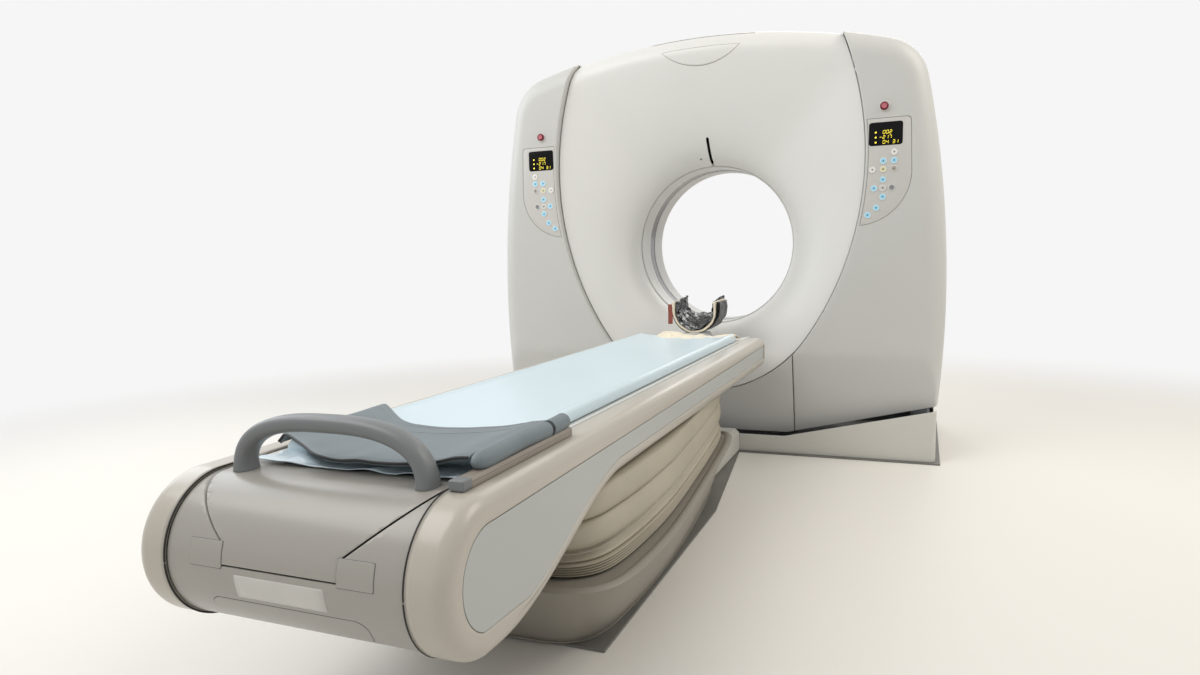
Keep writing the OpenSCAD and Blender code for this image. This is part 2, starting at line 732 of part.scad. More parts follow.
// Outline of one tooth that points in the direction a: up one flank and down the other
function tooth(r, a, p) =
    let (qs = [r - 1.25 * gear_m, max(r * cos(pressure_a), r - 0.6 * gear_m), r, r + 0.5 * gear_m,
        r + 0.95 * gear_m])
    concat([for (q = qs) q * [cos(a - tooth_half(q, r, p)), sin(a - tooth_half(q, r, p))]],
        [for (i = [4:-1:0]) qs[i] * [cos(a + tooth_half(qs[i], r, p)), sin(a + tooth_half(qs[i], r, p))]]);
function gear_pts(teeth, first, last, phase) =
    [for (k = [first:last]) each tooth(gear_m * teeth / 2, phase + 360 * k / teeth, 360 / teeth)];
sector_r = gear_m * sector_teeth / 2;
sector_span = 10;
sector_half_a = (sector_span + 1.5) * 360 / sector_teeth;
module tilt_sector() {
    color("silver") translate([-sector_x - sector_t, 0, iso_h]) rotate([90, 0, 90])
        linear_extrude(sector_t) difference() {
        union() {
            circle(r = 95);
            polygon(concat([[-80, 40]], [(sector_r - 8) * [cos(270 - sector_half_a),
                sin(270 - sector_half_a)]],
                gear_pts(sector_teeth, -sector_span, sector_span, 270),
                [(sector_r - 8) * [cos(270 + sector_half_a), sin(270 + sector_half_a)]], [[80, 40]]));
        }
        circle(r = trunnion_r + run_gap);
        for (a = [-24:24:24]) rotate(270 + a) translate([200, 0]) circle(r = 30);
    }
}
module tilt_pinion() {
    color("silver") translate([0, 0, pinion_z]) {
        translate([-sector_x - sector_t, 0, 0]) rotate([90, 0, 90]) linear_extrude(sector_t)
            polygon(gear_pts(pinion_teeth, 0, pinion_teeth - 1, 180 / pinion_teeth));
        translate([-sector_x - 1, 0, 0]) rotate([0, -90, 0])
            cylinder(h = post_x + post_t - sector_x + motor_t * 0.6 - 3, r = shaft_r);
    }
}
// Tilting frame: bearing ring behind the rotor, arms and trunnion pins
frame_y0 = 104;
frame_y1 = 150;
frame_out_r = 780;
arm_h = 110;
belt_w = 28;
belt_t = 5;
belt_y = 80;
pulley_r = 54;
pulley_at = [600, iso_h - 620];
bracket_in_r = rotor_out_r + 18;
bracket_out_r = frame_out_r - 4;
bracket_t = 16;
lug_back = 14;
bracket_y = mouth_y(0.93) + skin + lug_back + seat_gap;
module cover_bracket(t, y_frame) {
    translate([0, 0, iso_h]) rotate([0, -t, 0]) {
        translate([bracket_in_r, bracket_y, -10])
            cube([bracket_out_r - bracket_in_r, y_frame - bracket_y, 20]);
        translate([mouth_r(t, 0.93) - 22, bracket_y, -10])
            cube([bracket_out_r - mouth_r(t, 0.93) + 22, bracket_t, 20]);
    }
}
bracket_angles = [-35, 22, 158, 215];
tower_seat_h = 1260;
crown_seat_x = 180;
sill_x = 135;
module tilt_frame() {
    color("slategray") {
        difference() {
            union() {
                translate([0, frame_y1, iso_h]) rotate([90, 0, 0])
                    cylinder(h = frame_y1 - frame_y0, r = frame_out_r, $fn = 180);
                both_sides() {
                    translate([frame_out_r - 60, -80, iso_h - arm_h])
                        cube([arm_x - frame_out_r + 60, frame_y1 + 80, 2 * arm_h]);
                    translate([arm_x - 1, 0, iso_h]) rotate([0, 90, 0])
                        cylinder(h = post_t + post_x - arm_x - 4, r = trunnion_r);
                    translate([600, 20, tower_seat_h - 8])
                        cube([tower_rib_x(tower_seat_h) - 8 - seat_gap - 600, frame_y1 - 30, 16]);
                    translate([crown_seat_x - 10, frame_y0, iso_h + 700])
                        cube([20, frame_y1 - frame_y0,
                            mid_crown_z(crown_seat_x) - skin - 11 - seat_gap - iso_h - 700]);
                }
                translate([pulley_at[0], frame_y1, pulley_at[1]]) rotate([90, 0, 0])
                    cylinder(h = frame_y1 - frame_y0, r = 90);
            }
            translate([0, 0, iso_h]) rotate([90, 0, 0]) {
                cylinder(h = 2 * far, r = bearing_r + run_gap, center = true, $fn = 180);
                translate([0, 0, -frame_y0 + seat_gap]) cylinder(h = far, r = rotor_out_r + 14, $fn = 180);
            }
            translate([pulley_at[0], 0, pulley_at[1]]) rotate([90, 0, 0])
                cylinder(h = far, r = 16 + run_gap, center = true);
            for (t = [20:40:340]) if (t != 300) translate([640 * cos(t), 0, iso_h + 640 * sin(t)])
                rotate([90, 0, 0])
                cylinder(h = far, r = 56, center = true);
        }
        for (t = bracket_angles) {
            cover_bracket(t, frame_y0 + 10);
            mirror([0, 1, 0]) cover_bracket(t, 10 - frame_y1);
        }
        for (x = [-sill_x, sill_x]) translate([x - 10, sill_y, iso_h - frame_out_r + 8])
            cube([20, frame_y0 + 10 - sill_y, 30]);
    }
}
// Rotor: ring plate with a bearing hub, and what it carries
plate_y0 = 62;
plate_y1 = 100;
hub_in_r = rotor_in_r;
hub_y1 = 218;
module ring_solid(r0, r1, y0, y1) {
    translate([0, y1, iso_h]) rotate([90, 0, 0]) difference() {
        cylinder(h = y1 - y0, r = r1, $fn = 180);
        translate([0, 0, -1]) cylinder(h = y1 - y0 + 2, r = r0, $fn = 180);
    }
}
module rotor_ring() {
    color("lightsteelblue") difference() {
        union() {
            ring_solid(rotor_in_r, rotor_out_r, plate_y0, plate_y1);
            ring_solid(hub_in_r, bearing_r, plate_y0, hub_y1 - 60);
            ring_solid(hub_in_r, hub_in_r + 26, plate_y0, hub_y1);
            ring_solid(bearing_r - 30, bearing_r + 60, plate_y0, frame_y0 - seat_gap);
        }
        for (t = [0:30:330]) translate([620 * cos(t), 0, iso_h + 620 * sin(t)]) rotate([90, 0, 0])
            cylinder(h = far, r = t % 90 == 0 ? 12 : 34, center = true);
    }
}
slip_out_r = hub_in_r + 70;
module slip_ring() {
    color("peru") difference() {
        ring_solid(hub_in_r + 26, slip_out_r, hub_y1 - 60 + seat_gap, hub_y1);
        for (k = [0:4]) translate([0, hub_y1 - 52 + 10 * k, iso_h]) rotate([90, 0, 0]) difference() {
            cylinder(h = 4, r = slip_out_r + 5, $fn = 180);
            translate([0, 0, -1]) cylinder(h = 6, r = slip_out_r - 4, $fn = 180);
        }
    }
}
tube_r = 590;
tube_case_r = 92;
module xray_tube() {
    color("silver") translate([0, 0, iso_h + tube_r]) {
        translate([0, plate_y0, 0]) rotate([90, 0, 0]) cylinder(h = 210, r = tube_case_r);
        translate([0, plate_y0 - 210, 0]) rotate([90, 0, 0]) cylinder(h = 26, r1 = tube_case_r, r2 = 66);
        translate([-110, plate_y0 - 120, -70]) cube([220, 120, 60]);
        for (x = [-40, 40]) translate([x, plate_y0 - 232, 0]) rotate([90, 0, 0]) cylinder(h = 30, r = 22);
    }
}
module collimator() {
    color("slategray") translate([0, 0, iso_h + rotor_in_r + 2]) difference() {
        translate([-105, -54, 0]) cube([210, plate_y0 + 54,
            tube_r - tube_case_r - rotor_in_r - 2 - seat_gap]);
        translate([-80, -12, -1]) cube([160, 24, far]);
    }
}
detector_in_r = 470;
detector_out_r = 548;
detector_a = 30;
module arc_block(r0, r1, a, y0, y1) {
    translate([0, y1, iso_h]) rotate([90, 0, 0]) rotate_extrude_arc(a) translate([r0, 0])
        square([r1 - r0, y1 - y0]);
}
module rotate_extrude_arc(a) {
    rotate(-90 - a) rotate_extrude(angle = 2 * a, $fn = 180) children();
}
module detector() {
    color("dimgray") difference() {
        arc_block(detector_in_r, detector_out_r, detector_a, -70, plate_y0);
        arc_block(detector_in_r - 1, detector_in_r + 8, detector_a + 1, -40, 40);
    }
}
module generator() {
    color("gainsboro") translate([0, 0, iso_h]) for (a = [180, 0]) rotate([0, a, 0])
        translate([470, -130, -110]) {
        cube([180, 130 + plate_y0, 220]);
        for (k = [0:5]) translate([180, 10 + 24 * k, 20]) cube([14, 6, 180]);
    }
}
module brush_block() {
    color("darkslategray") {
        translate([-60, hub_y1 - 58, iso_h + slip_out_r + seat_gap]) cube([120, 54, 40]);
        translate([-90, frame_y1, iso_h + slip_out_r + 20]) cube([180, 22, 50]);
    }
}
// Rotor drive: motor behind the frame, pulley and belt
motor_r = 70;
module drive_motor() {
    color("dimgray") translate([pulley_at[0], frame_y1, pulley_at[1]]) rotate([-90, 0, 0]) difference() {
        union() {
            cylinder(h = 12, r = 84);
            cylinder(h = 170, r = motor_r);
            for (a = [0:30:330]) rotate(a) translate([motor_r - 3, -2, 20]) cube([11, 4, 130]);
        }
        translate([0, 0, -1]) cylinder(h = 121, r = 16 + run_gap);
    }
}
module drive_pulley() {
    color("silver") translate([pulley_at[0], 0, pulley_at[1]]) {
        translate([0, belt_y + belt_w / 2 + 2, 0]) rotate([90, 0, 0]) cylinder(h = belt_w + 4, r = pulley_r);
        for (y = [belt_y - belt_w / 2 - 1, belt_y + belt_w / 2 + 5]) translate([0, y, 0]) rotate([90, 0, 0])
            cylinder(h = 4, r = pulley_r + 9);
        translate([0, frame_y1 + 110, 0]) rotate([90, 0, 0]) cylinder(h = frame_y1 + 110 - belt_y, r = 16);
    }
}
belt_gap = 0.3;
module belt_outline(d) {
    v = pulley_at - [0, iso_h];
    dist = norm(v);
    r1 = rotor_out_r + d;
    r2 = pulley_r + d;
    a = acos((r1 - r2) / dist);
    t = atan2(v[1], v[0]);
    union() {
        translate([0, iso_h]) circle(r = r1, $fn = 180);
        translate(pulley_at) circle(r = r2);
        polygon([[0, iso_h] + r1 * [cos(t + a), sin(t + a)], pulley_at + r2 * [cos(t + a), sin(t + a)],
            pulley_at + r2 * [cos(t - a), sin(t - a)], [0, iso_h] + r1 * [cos(t - a), sin(t - a)],
                [0, iso_h]]);
    }
}
module drive_belt() {
    color("black") along_y(belt_y - belt_w / 2, belt_y + belt_w / 2) difference() {
        belt_outline(belt_gap + belt_t);
        belt_outline(belt_gap);
    }
}

// Couch side: level beam, swept underside and round foot end
beam_low = deck_h - beam_t;
bulb_c = [-bulb_y, deck_h - bulb_r];
sweep_y = bulb_y - sweep_len - 33;
end_corner_r = 30;
function under_z(y) = beam_low - (beam_low - bulb_c[1] + bulb_r) * smooth((-y - sweep_y) / sweep_len);
function side_outline(d) =
    concat(arc([-(couch_near + end_corner_r), beam_low + end_corner_r], end_corner_r - d, -90, 0, 2),
        arc([-(couch_near + end_corner_r), deck_h - end_corner_r], end_corner_r - d, 0, 90, 2),
        arc(bulb_c, bulb_r - d, 90, 262, 12),
        [for (i = [0:8]) let (y = -(sweep_y + sweep_len * (1 - i / 8))) [y, under_z(y) + d]]);
function side_ring(x, d) = [for (p = side_outline(d)) [x, p[0], p[1]]];
module side_solid(d, x_in) {
    loft(concat([for (i = [4:-1:0]) let (a = 22.5 * i)
        side_ring(couch_half_w - side_edge + (side_edge - d) * sin(a), d + (side_edge - d) * (1 - cos(a)))],
        [side_ring(x_in, d)]));
}
module side_cover_shape() {
    difference() {
        side_solid(0, couch_in_w);
        side_solid(skin, couch_in_w - 5);
        along_x(couch_half_w - inlay_depth, couch_half_w + 1) polygon(inlay_pts(seat_gap));
    }
    hull() for (y = [couch_near + 40, bulb_y - 20]) translate([couch_in_w, -y, deck_h - 18])
        cube([4, 10, 16]);
    for (i = [0:6]) translate([couch_half_w - skin - 14, -(couch_near + 150 + i * 280), beam_low + 2])
        hull() {
        cube([14.5, 5, beam_t - 4]);
        translate([-14, 0, beam_t - 30]) cube([30, 5, 26]);
    }
}
module side_cover_right() {
    color("gainsboro") side_cover_shape();
}
module side_cover_left() {
    color("gainsboro") mirror([1, 0, 0]) side_cover_shape();
}
// Inlay panels sunk into the outer faces, widened by g
inlay_depth = 3;
inlay_t = 1.5;
inlay_near = couch_near + 42;
inlay_border = 34;
function inlay_pts(g) = concat(
    arc([-(inlay_near + 14), beam_low + inlay_border + 6], 14 + g, -90, 0, 2),
    arc([-(inlay_near + 14), deck_h - inlay_border - 14], 14 + g, 0, 90, 2),
    arc(bulb_c, bulb_r - inlay_border - 12 + g, 84, 248, 9),
    [for (i = [0:5]) let (y = -(sweep_y + (sweep_len - 90) * (1 - i / 5))) [y,
        under_z(y) + inlay_border - 8 - g]]);
module side_inlays() {
    x = couch_half_w - inlay_depth + seat_gap;
    color("slategray") both_sides() along_x(x, x + inlay_t) polygon(inlay_pts(0));
}
// Foot end between the side covers: a curved shell, split into a lower cover and an upper hatch
end_drop = 4;
end_t = 4;
end_back = top_far + 10;
end_low_back = bulb_y - 180;
end_half_w = couch_in_w - seat_gap;
module end_profile(d, over) {
    translate(bulb_c) circle(r = bulb_r - end_drop - d, $fn = 120);
    polygon(concat([[-bulb_y, deck_h - end_drop - d], [-end_back + over, deck_h - end_drop - d]],
        [for (i = [0:5]) let (y = -(end_low_back + (bulb_y - end_low_back) * i / 5) + over * (1 - i / 5))
            [y, under_z(y) + end_drop + d]]));
}
module end_shell() {
    difference() {
        along_x(-end_half_w, end_half_w) end_profile(0, 0);
        along_x(-far, far) end_profile(end_t, 20);
    }
}
hatch_low = 398;
hatch_half_w = 118;
hatch_step = 433;
hatch_top_half_w = 224;
module hatch_zone(g) {
    polygon([[-hatch_half_w - g, hatch_low - g], [hatch_half_w + g, hatch_low - g],
        [hatch_half_w + g, hatch_step - g],
        [hatch_top_half_w + g, deck_h - g], [hatch_top_half_w + g, far], [-hatch_top_half_w - g, far],
        [-hatch_top_half_w - g, deck_h - g], [-hatch_half_w - g, hatch_step - g]]);
}
module end_layer(d0, d1) {
    along_x(-end_half_w, end_half_w) difference() {
        translate(bulb_c) circle(r = bulb_r - end_drop - d0, $fn = 120);
        translate(bulb_c) circle(r = bulb_r - end_drop - d1, $fn = 120);
        translate([-bulb_y, 0]) square([far, far]);
    }
}
module end_cover() {
    color("rosybrown") difference() {
        union() {
            end_shell();
            for (x = [-1, 1]) intersection() {
                end_layer(-2, 1);
                translate([x * 144 - 32, -2 * far - far, 389]) cube([64, 2 * far, 47]);
            }
            intersection() {
                end_layer(end_t - 0.5, end_t + 4);
                translate([-90, -3 * far, hatch_low - 22]) cube([180, 2 * far, 18]);
            }
        }
        along_y(-3 * far, 0) hatch_zone(seam / 2);
        intersection() {
            end_layer(-5, 2);
            along_y(-3 * far, 0) polygon([[-165, 322], [-145, 287], [145, 287], [165, 322]]);
        }
    }
    color("rosybrown") intersection() {
        end_layer(end_t + seat_gap, end_t + 4);
        translate([-90, -3 * far, hatch_low - 20]) cube([180, 2 * far, 34]);
    }
}
module end_hatch() {
    color("rosybrown") intersection() {
        end_shell();
        along_y(-3 * far, 0) hatch_zone(-seam / 2);
    }
}
// Carrying grip over the foot end: an arch of rounded section
grip_y = bulb_y - 11;
grip_w = 42;
grip_h = 30;
grip_base = deck_h - end_drop + seat_gap;
function grip_at(t) = let (c = cos(t), s = sin(t))
    [grip_span / 2 * sign(c) * pow(abs(c), 0.72), (grip_rise - grip_h / 2) * pow(s, 0.8)];
function grip_ring(t) =
    let (a = grip_at(max(0, t - 4)), b = grip_at(min(180, t + 4)), v = (b - a) / norm(b - a),
         n = t < 1 || t > 179 ? [v[1] > 0 ? 1 : -1, 0] : [v[1], -v[0]], p = grip_at(t))
    [for (k = [0:11]) let (q = 30 * k + 15, w = grip_w / 2 * cos(q),
            e = grip_h / 2 * sin(q) * min(1.25, 1 / max(0.75, abs(cos(q)) + 0.2)))
        [p[0] + n[0] * e, -grip_y + w, grip_base + max(0, p[1] + n[1] * e)]];
module grip() {
    color("gray") loft([for (i = [0:22]) grip_ring(180 * i / 22)]);
}
// Sliding tabletop: a shallow trough on two runners
function dish(x) = top_dip * pow(x / top_half_w, 2);
top_low = deck_h - 2 - top_dip - top_t;
runner_x = 170;
runner_w = 40;
runner_low = top_low - 6;
top_cols = [for (i = [-8:8]) top_half_w * i / 8];
module tabletop() {
    color("lightgray") {
        along_x_run(top_near, top_far) polygon(concat([for (x = top_cols) [x, top_low + dish(x)]],
            [for (i = [16:-1:0]) [top_cols[i], top_low + top_t + dish(top_cols[i])]]));
        both_sides() translate([runner_x - runner_w / 2, -top_far + 40, runner_low])
            cube([runner_w, top_far - top_near - 80, 26]);
    }
}
// An outline (x, z) that runs along the couch between two distances from the scan plane
module along_x_run(near, away) {
    along_y(-away, -near) children();
}
// Mat on the tabletop and the foot pad over it
mat_near = top_near + 86;
mat_far = top_far - 30;
mat_half_w = top_half_w - mat_inset;
mat_low = top_low + top_t + seat_gap;
function mat_top(x) = deck_h + mat_t - 14 + 14 * pow(x / mat_half_w, 2);
mat_cols = [for (i = [-8:8]) (mat_half_w - 8) * i / 8];
mat_side = [[mat_half_w - 4, mat_low + dish(mat_half_w - 4)], [mat_half_w - 1, deck_h + 1],
    [mat_half_w, deck_h + mat_t - 12]];
module mat() {
    color("lightcyan") along_x_run(mat_near, mat_far) polygon(concat(
        [for (i = [-7:7]) let (x = (mat_half_w - 4) * i / 8) [x, mat_low + dish(x)]],
        mat_side, [for (i = [16:-1:0]) [mat_cols[i], mat_top(mat_cols[i])]], flipped(mat_side)));
}
// Foot pad: it drapes over the mat, and its right edge is rolled round a rail
pad_t = 10;
pad_half_w = couch_in_w - 2;
pad_far = bulb_y - 41;
roll_r = 17;
roll_x = couch_in_w + 19;
roll_h = deck_h + mat_t + 6;
rail_over = 54;
function pad_line(d) = concat([[-pad_half_w, deck_h + 4 + 0.8 * d],
    [-(mat_half_w + 1.5 + 0.5 * d), deck_h + mat_t - 10 + 1.2 * d]],
    [for (x = mat_cols) [x, mat_top(x) + seat_gap + d]], [[roll_x, deck_h + mat_t + 3 + 1.3 * d]]);
module foot_pad() {
    color("dimgray") {
        intersection() {
            along_x_run(mat_far - 280, pad_far) union() {
                polygon(concat(pad_line(0), [for (i = [len(mat_cols) + 2:-1:0]) pad_line(pad_t)[i]]));
                translate([roll_x, roll_h]) circle(r = roll_r, $fn = 32);
            }
            linear_extrude(far) polygon([[-pad_half_w - 5, -3 * far], [-pad_half_w - 5, 188 - mat_far],
                [-pad_half_w + 16, 240 - mat_far], [pad_half_w + 5, 264 - mat_far],
                [roll_x + 28, 194 - mat_far], [roll_x + 28, -3 * far]]);
        }
        translate([roll_x - 12, -pad_far - rail_over, deck_h + 1])
            cube([26, pad_far + rail_over - mat_far + 263, 16]);
    }
}
// Head holder: a U-shaped shell on a tongue over the end of the tabletop
holder_r = 115;
holder_t = 20;
holder_low = deck_h + 10;
holder_far = top_near + 50;
holder_len = 200;
module head_holder() {
    color("gainsboro") difference() {
        union() {
            along_x_run(holder_far - holder_len, holder_far) difference() {
                union() {
                    intersection() {
                        translate([0, holder_low + holder_r]) circle(r = holder_r);
                        translate([-holder_r, holder_low]) square([2 * holder_r, holder_r]);
                    }
                    translate([-holder_r, holder_low + holder_r - eps]) square([2 * holder_r, 22]);
                }
                translate([0, holder_low + holder_r]) circle(r = holder_r - holder_t);
                translate([holder_t - holder_r, holder_low + holder_r])
                    square([2 * (holder_r - holder_t), far]);
            }
            translate([-60, -mat_near + 2, mat_low + dish(60)]) cube([120, mat_near - holder_far + 90, 14]);
            translate([-60, -holder_far, mat_low + dish(60)])
                cube([120, 88, holder_low + holder_t - mat_low - dish(60)]);
        }
        translate([-far, holder_len - holder_far - 40, holder_low + 74]) rotate([35, 0, 0])
            cube([2 * far, 200, 200]);
    }
}
// Frame of the couch: belly sheet, channels for the runners and cross members
frame_w = couch_in_w - seat_gap;
channel_top = runner_low - seat_gap;
belly_t = 4;
module couch_frame() {
    color("slategray") {
        along_x(-frame_w, frame_w) polygon(concat(
            [[-(couch_near + 20), beam_low]],
            [for (i = [0:8]) let (y = -(sweep_y + (end_low_back - 6 - sweep_y) * i / 8)) [y, under_z(y)]],
            [for (i = [8:-1:0]) let (y = -(sweep_y + (end_low_back - 6 - sweep_y) * i / 8)) [y,
                under_z(y) + belly_t]],
            [[-(couch_near + 20), beam_low + belly_t]]));
        translate([-frame_w, -(couch_near + 26), beam_low])
            cube([2 * frame_w, 6, channel_top - beam_low - 10]);
        both_sides() {
            translate([runner_x - 30, -end_low_back, beam_low + 1])
                cube([60, end_low_back - couch_near - 30, channel_top - beam_low - 1]);
            for (x = [runner_x - 30, runner_x + runner_w / 2 + run_gap])
                translate([x, -end_low_back, channel_top - 1])
                    cube([10 - run_gap, end_low_back - couch_near - 30, 8]);
        }
        for (y = [640:320:2560]) translate([-frame_w, -y, beam_low + 1]) cube([2 * frame_w, 30, 40]);
    }
}
// Telescopic lift: two fixed columns on a sole plate, two rams under a head beam
column_ys = [1350, 2020];
column_r = 85;
ram_r = 70;
lift_low = plate_t + 12;
module lift_columns() {
    color("slategray") difference() {
        union() {
            translate([-110, -column_ys[1] - 130, plate_t])
                cube([220, column_ys[1] - column_ys[0] + 260, 12]);
            for (y = column_ys) {
                translate([0, -y, plate_t]) cylinder(h = beam_low - 14 - plate_t, r = column_r);
                translate([0, -y, plate_t]) cylinder(h = 30, r = column_r + 14);
            }
        }
        for (y = column_ys) translate([0, -y, lift_low]) cylinder(h = far, r = ram_r + run_gap);
    }
}
module lift_rams() {
    color("silver") {
        for (y = column_ys) translate([0, -y, lift_low + 4]) cylinder(h = beam_low - lift_low - 4, r = ram_r);
        translate([-100, -column_ys[1] - 110, beam_low - 12])
            cube([200, column_ys[1] - column_ys[0] + 220, 12]);
    }
}
// Plan of the couch base at the floor and at its top, right half from the foot end to the gantry end
base_low_pts = [[0, base_far - 120], [150, base_far - 120], [205, base_far - 142], [240, base_far - 190],
    [257, base_far - 290], [265, base_far - 500], [262, base_far - 700], [240, base_far - 1045],
    [200, base_near + 70], [duct_half_w - 10, base_near]];
base_top_pts = [[0, base_far], [200, base_far], [262, base_far - 12], [309, base_far - 48],
    [330, base_far - 110], [base_half_w, base_far - 250], [base_half_w, base_far - 450],
        [296, base_far - 964],
    [250, base_near + 40], [200, base_near - 20]];
function base_pt(i, s) = base_low_pts[i] + (base_top_pts[i] - base_low_pts[i]) * s;
// The same corners, each cut once
function eased(pts) = concat([pts[0]],
    [for (i = [1:len(pts) - 2]) each [0.75 * pts[i] + 0.25 * pts[i - 1], 0.75 * pts[i] + 0.25 * pts[i + 1]]],
    [pts[len(pts) - 1]]);
function base_ring(s, g, z) =
    let (r = eased([for (i = [0:9]) let (p = base_pt(i, s))
             [max(0, p[0] - (i > 0 ? g : 0)), -(p[1] + (i < 4 ? -g : i > 8 ? g : 0)), z]]))
    concat(r, [for (i = [len(r) - 1:-1:1]) [-r[i][0], r[i][1], z]]);
function flare(z) = let (t = (z - 20) / (base_h - 20)) t * (1.25 - 0.25 * t);
module base_solid(g, z0, z1) {
    loft([for (i = [4:-1:0]) let (z = z0 + (z1 - z0) * i / 4) base_ring(flare(z), g, z)]);
}
bellows_s = 0.42;
module couch_base_cover() {
    color("dimgray") {
        difference() {
            base_solid(0, plate_t, base_h);
            base_solid(skin, plate_t - 1, base_h - skin);
            translate([0, 0, base_h - 20]) loft([base_ring(bellows_s - 0.25, 8, 60),
                base_ring(bellows_s - 0.25, 8, 0)]);
        }
        for (i = [0:7]) let (x = (i - 3.5) * 44) hull() for (z = [plate_t + 2, duct_h - 8])
            translate([x - 2, -base_near - 30, z]) cube([4, base_near - half_d + 24, 4]);
        along_y(-base_near - 4, -half_d - 5) duct_profile();
    }
}
module duct_profile() {
    difference() {
        polygon([[-duct_half_w, plate_t], [duct_half_w, plate_t], [duct_half_w, duct_h - 18],
            [duct_half_w - 18, duct_h],
            [18 - duct_half_w, duct_h], [-duct_half_w, duct_h - 18]]);
        polygon([[-duct_half_w + 4, plate_t - 1], [duct_half_w - 4, plate_t - 1],
            [duct_half_w - 4, duct_h - 20],
            [duct_half_w - 20, duct_h - 4], [20 - duct_half_w, duct_h - 4], [4 - duct_half_w, duct_h - 20]]);
    }
}
// Folded skirt between base and couch: tight pleats below, soft bulges above
pleat_h = 9;
pleats = 5;
bulges = 4;
bulge_h = (beam_low - base_h - seat_gap - pleats * pleat_h) / bulges;
bellows_low = base_h + seat_gap;
bellows_levels = concat([for (i = [0:pleats - 1]) each [[bellows_low + i * pleat_h, -0.04],
    [bellows_low + (i + 0.5) * pleat_h, 0.1]]],
    [for (i = [0:bulges - 1]) let (z = bellows_low + pleats * pleat_h + i * bulge_h)
        each [[z, -0.05], [z + 0.25 * bulge_h, 0.11], [z + 0.7 * bulge_h, 0.12]]],
    [[beam_low, -0.02]]);
// One fold line at height z, widened by s; the folds close up under the swept foot end of the couch
bellows_top_gap = 3;
function bellows_ring(z, s) = [for (p = base_ring(bellows_s + s, 0, 0))
    [p[0], p[1], bellows_low + (z - bellows_low) * (under_z(p[1]) - bellows_top_gap - bellows_low) / (beam_low - bellows_low)]];
bellows_rings = concat([bellows_ring(bellows_low, -0.14), bellows_ring(beam_low, -0.14)],
    [for (i = [len(bellows_levels) - 1:-1:0]) bellows_ring(bellows_levels[i][0], bellows_levels[i][1])]);
module bellows() {
    color("wheat") ring_loft([for (i = [0:len(bellows_rings[0]) - 1]) [for (r = bellows_rings) r[i]]]);
}

floor_plate();
stand_frame();
tilt_motor();
plinth_left();
plinth_right();
plinth_centre();
tilt_frame();
tilt_sector();
tilt_pinion();
front_cover();
rear_cover();
top_cover();
tower_left();
tower_right();
lower_front_cover();
bore_liner();
scan_window();
control_panel_left();
control_panel_right();
displays();
drive_motor();
drive_pulley();
drive_belt();
brush_block();
rotor_ring();
slip_ring();
xray_tube();
collimator();
detector();
generator();
estop_left();
estop_right();
couch_base_cover();
bellows();
lift_columns();
lift_rams();
couch_frame();
side_cover_left();
side_cover_right();
side_inlays();
end_cover();
end_hatch();
grip();
tabletop();
mat();
foot_pad();
head_holder();
key(0);  // key_lamp
key(1);  // key_mark_in
key(2);  // key_mark_out
key(3);  // key_home
key(4);  // key_scan_up
key(5);  // key_clear
key(6);  // key_up
key(7);  // key_left
key(8);  // key_centre
key(9);  // key_right
key(10);  // key_down
key(11);  // key_tilt
key(12);  // key_free
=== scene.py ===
import math
import random

import bmesh
import bpy
from mathutils import Matrix, Vector, noise


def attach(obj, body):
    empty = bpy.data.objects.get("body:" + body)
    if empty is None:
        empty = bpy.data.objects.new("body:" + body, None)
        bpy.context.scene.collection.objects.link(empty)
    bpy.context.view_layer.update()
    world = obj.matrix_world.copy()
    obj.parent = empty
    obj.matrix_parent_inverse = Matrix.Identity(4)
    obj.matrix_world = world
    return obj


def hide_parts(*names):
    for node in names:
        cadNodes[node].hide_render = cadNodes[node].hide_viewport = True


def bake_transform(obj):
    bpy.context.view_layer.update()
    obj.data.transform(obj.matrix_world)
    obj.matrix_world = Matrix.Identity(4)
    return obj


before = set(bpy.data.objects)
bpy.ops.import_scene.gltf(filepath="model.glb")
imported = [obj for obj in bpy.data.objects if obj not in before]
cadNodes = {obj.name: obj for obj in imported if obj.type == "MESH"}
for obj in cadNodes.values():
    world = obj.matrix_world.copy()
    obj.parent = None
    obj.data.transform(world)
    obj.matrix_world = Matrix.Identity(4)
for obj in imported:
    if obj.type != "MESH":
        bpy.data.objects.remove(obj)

random.seed(11)
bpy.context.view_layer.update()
scene = bpy.context.scene


# Camera, floor, light
camera = {
    "place": (0.8915, -3.7686, 0.8595),
    "yaw": 0.3896,        # to the left of +Y, radians
    "pitch": -0.136,
    "roll": -0.0271,
    "lens": 23.55,        # on a 36 mm sensor
    "shiftY": 0.0229,
}


def makeCamera(c):
    data = bpy.data.cameras.new("camera")
    data.lens = c["lens"]
    data.sensor_width = 36
    data.shift_y = c["shiftY"]
    data.clip_end = 60
    obj = bpy.data.objects.new("camera", data)
    scene.collection.objects.link(obj)
    cy, sy, cp, sp = math.cos(c["yaw"]), math.sin(c["yaw"]), math.cos(c["pitch"]), math.sin(c["pitch"])
    forward = Vector((-sy * cp, cy * cp, sp))
    right = Vector((cy, sy, 0))
    up = right.cross(forward)
    cr, sr = math.cos(c["roll"]), math.sin(c["roll"])
    across, upright = cr * right + sr * up, -sr * right + cr * up
    turn = Matrix((across, upright, -forward)).transposed().to_4x4()
    obj.matrix_world = Matrix.Translation(c["place"]) @ turn
    scene.camera = obj


makeCamera(camera)

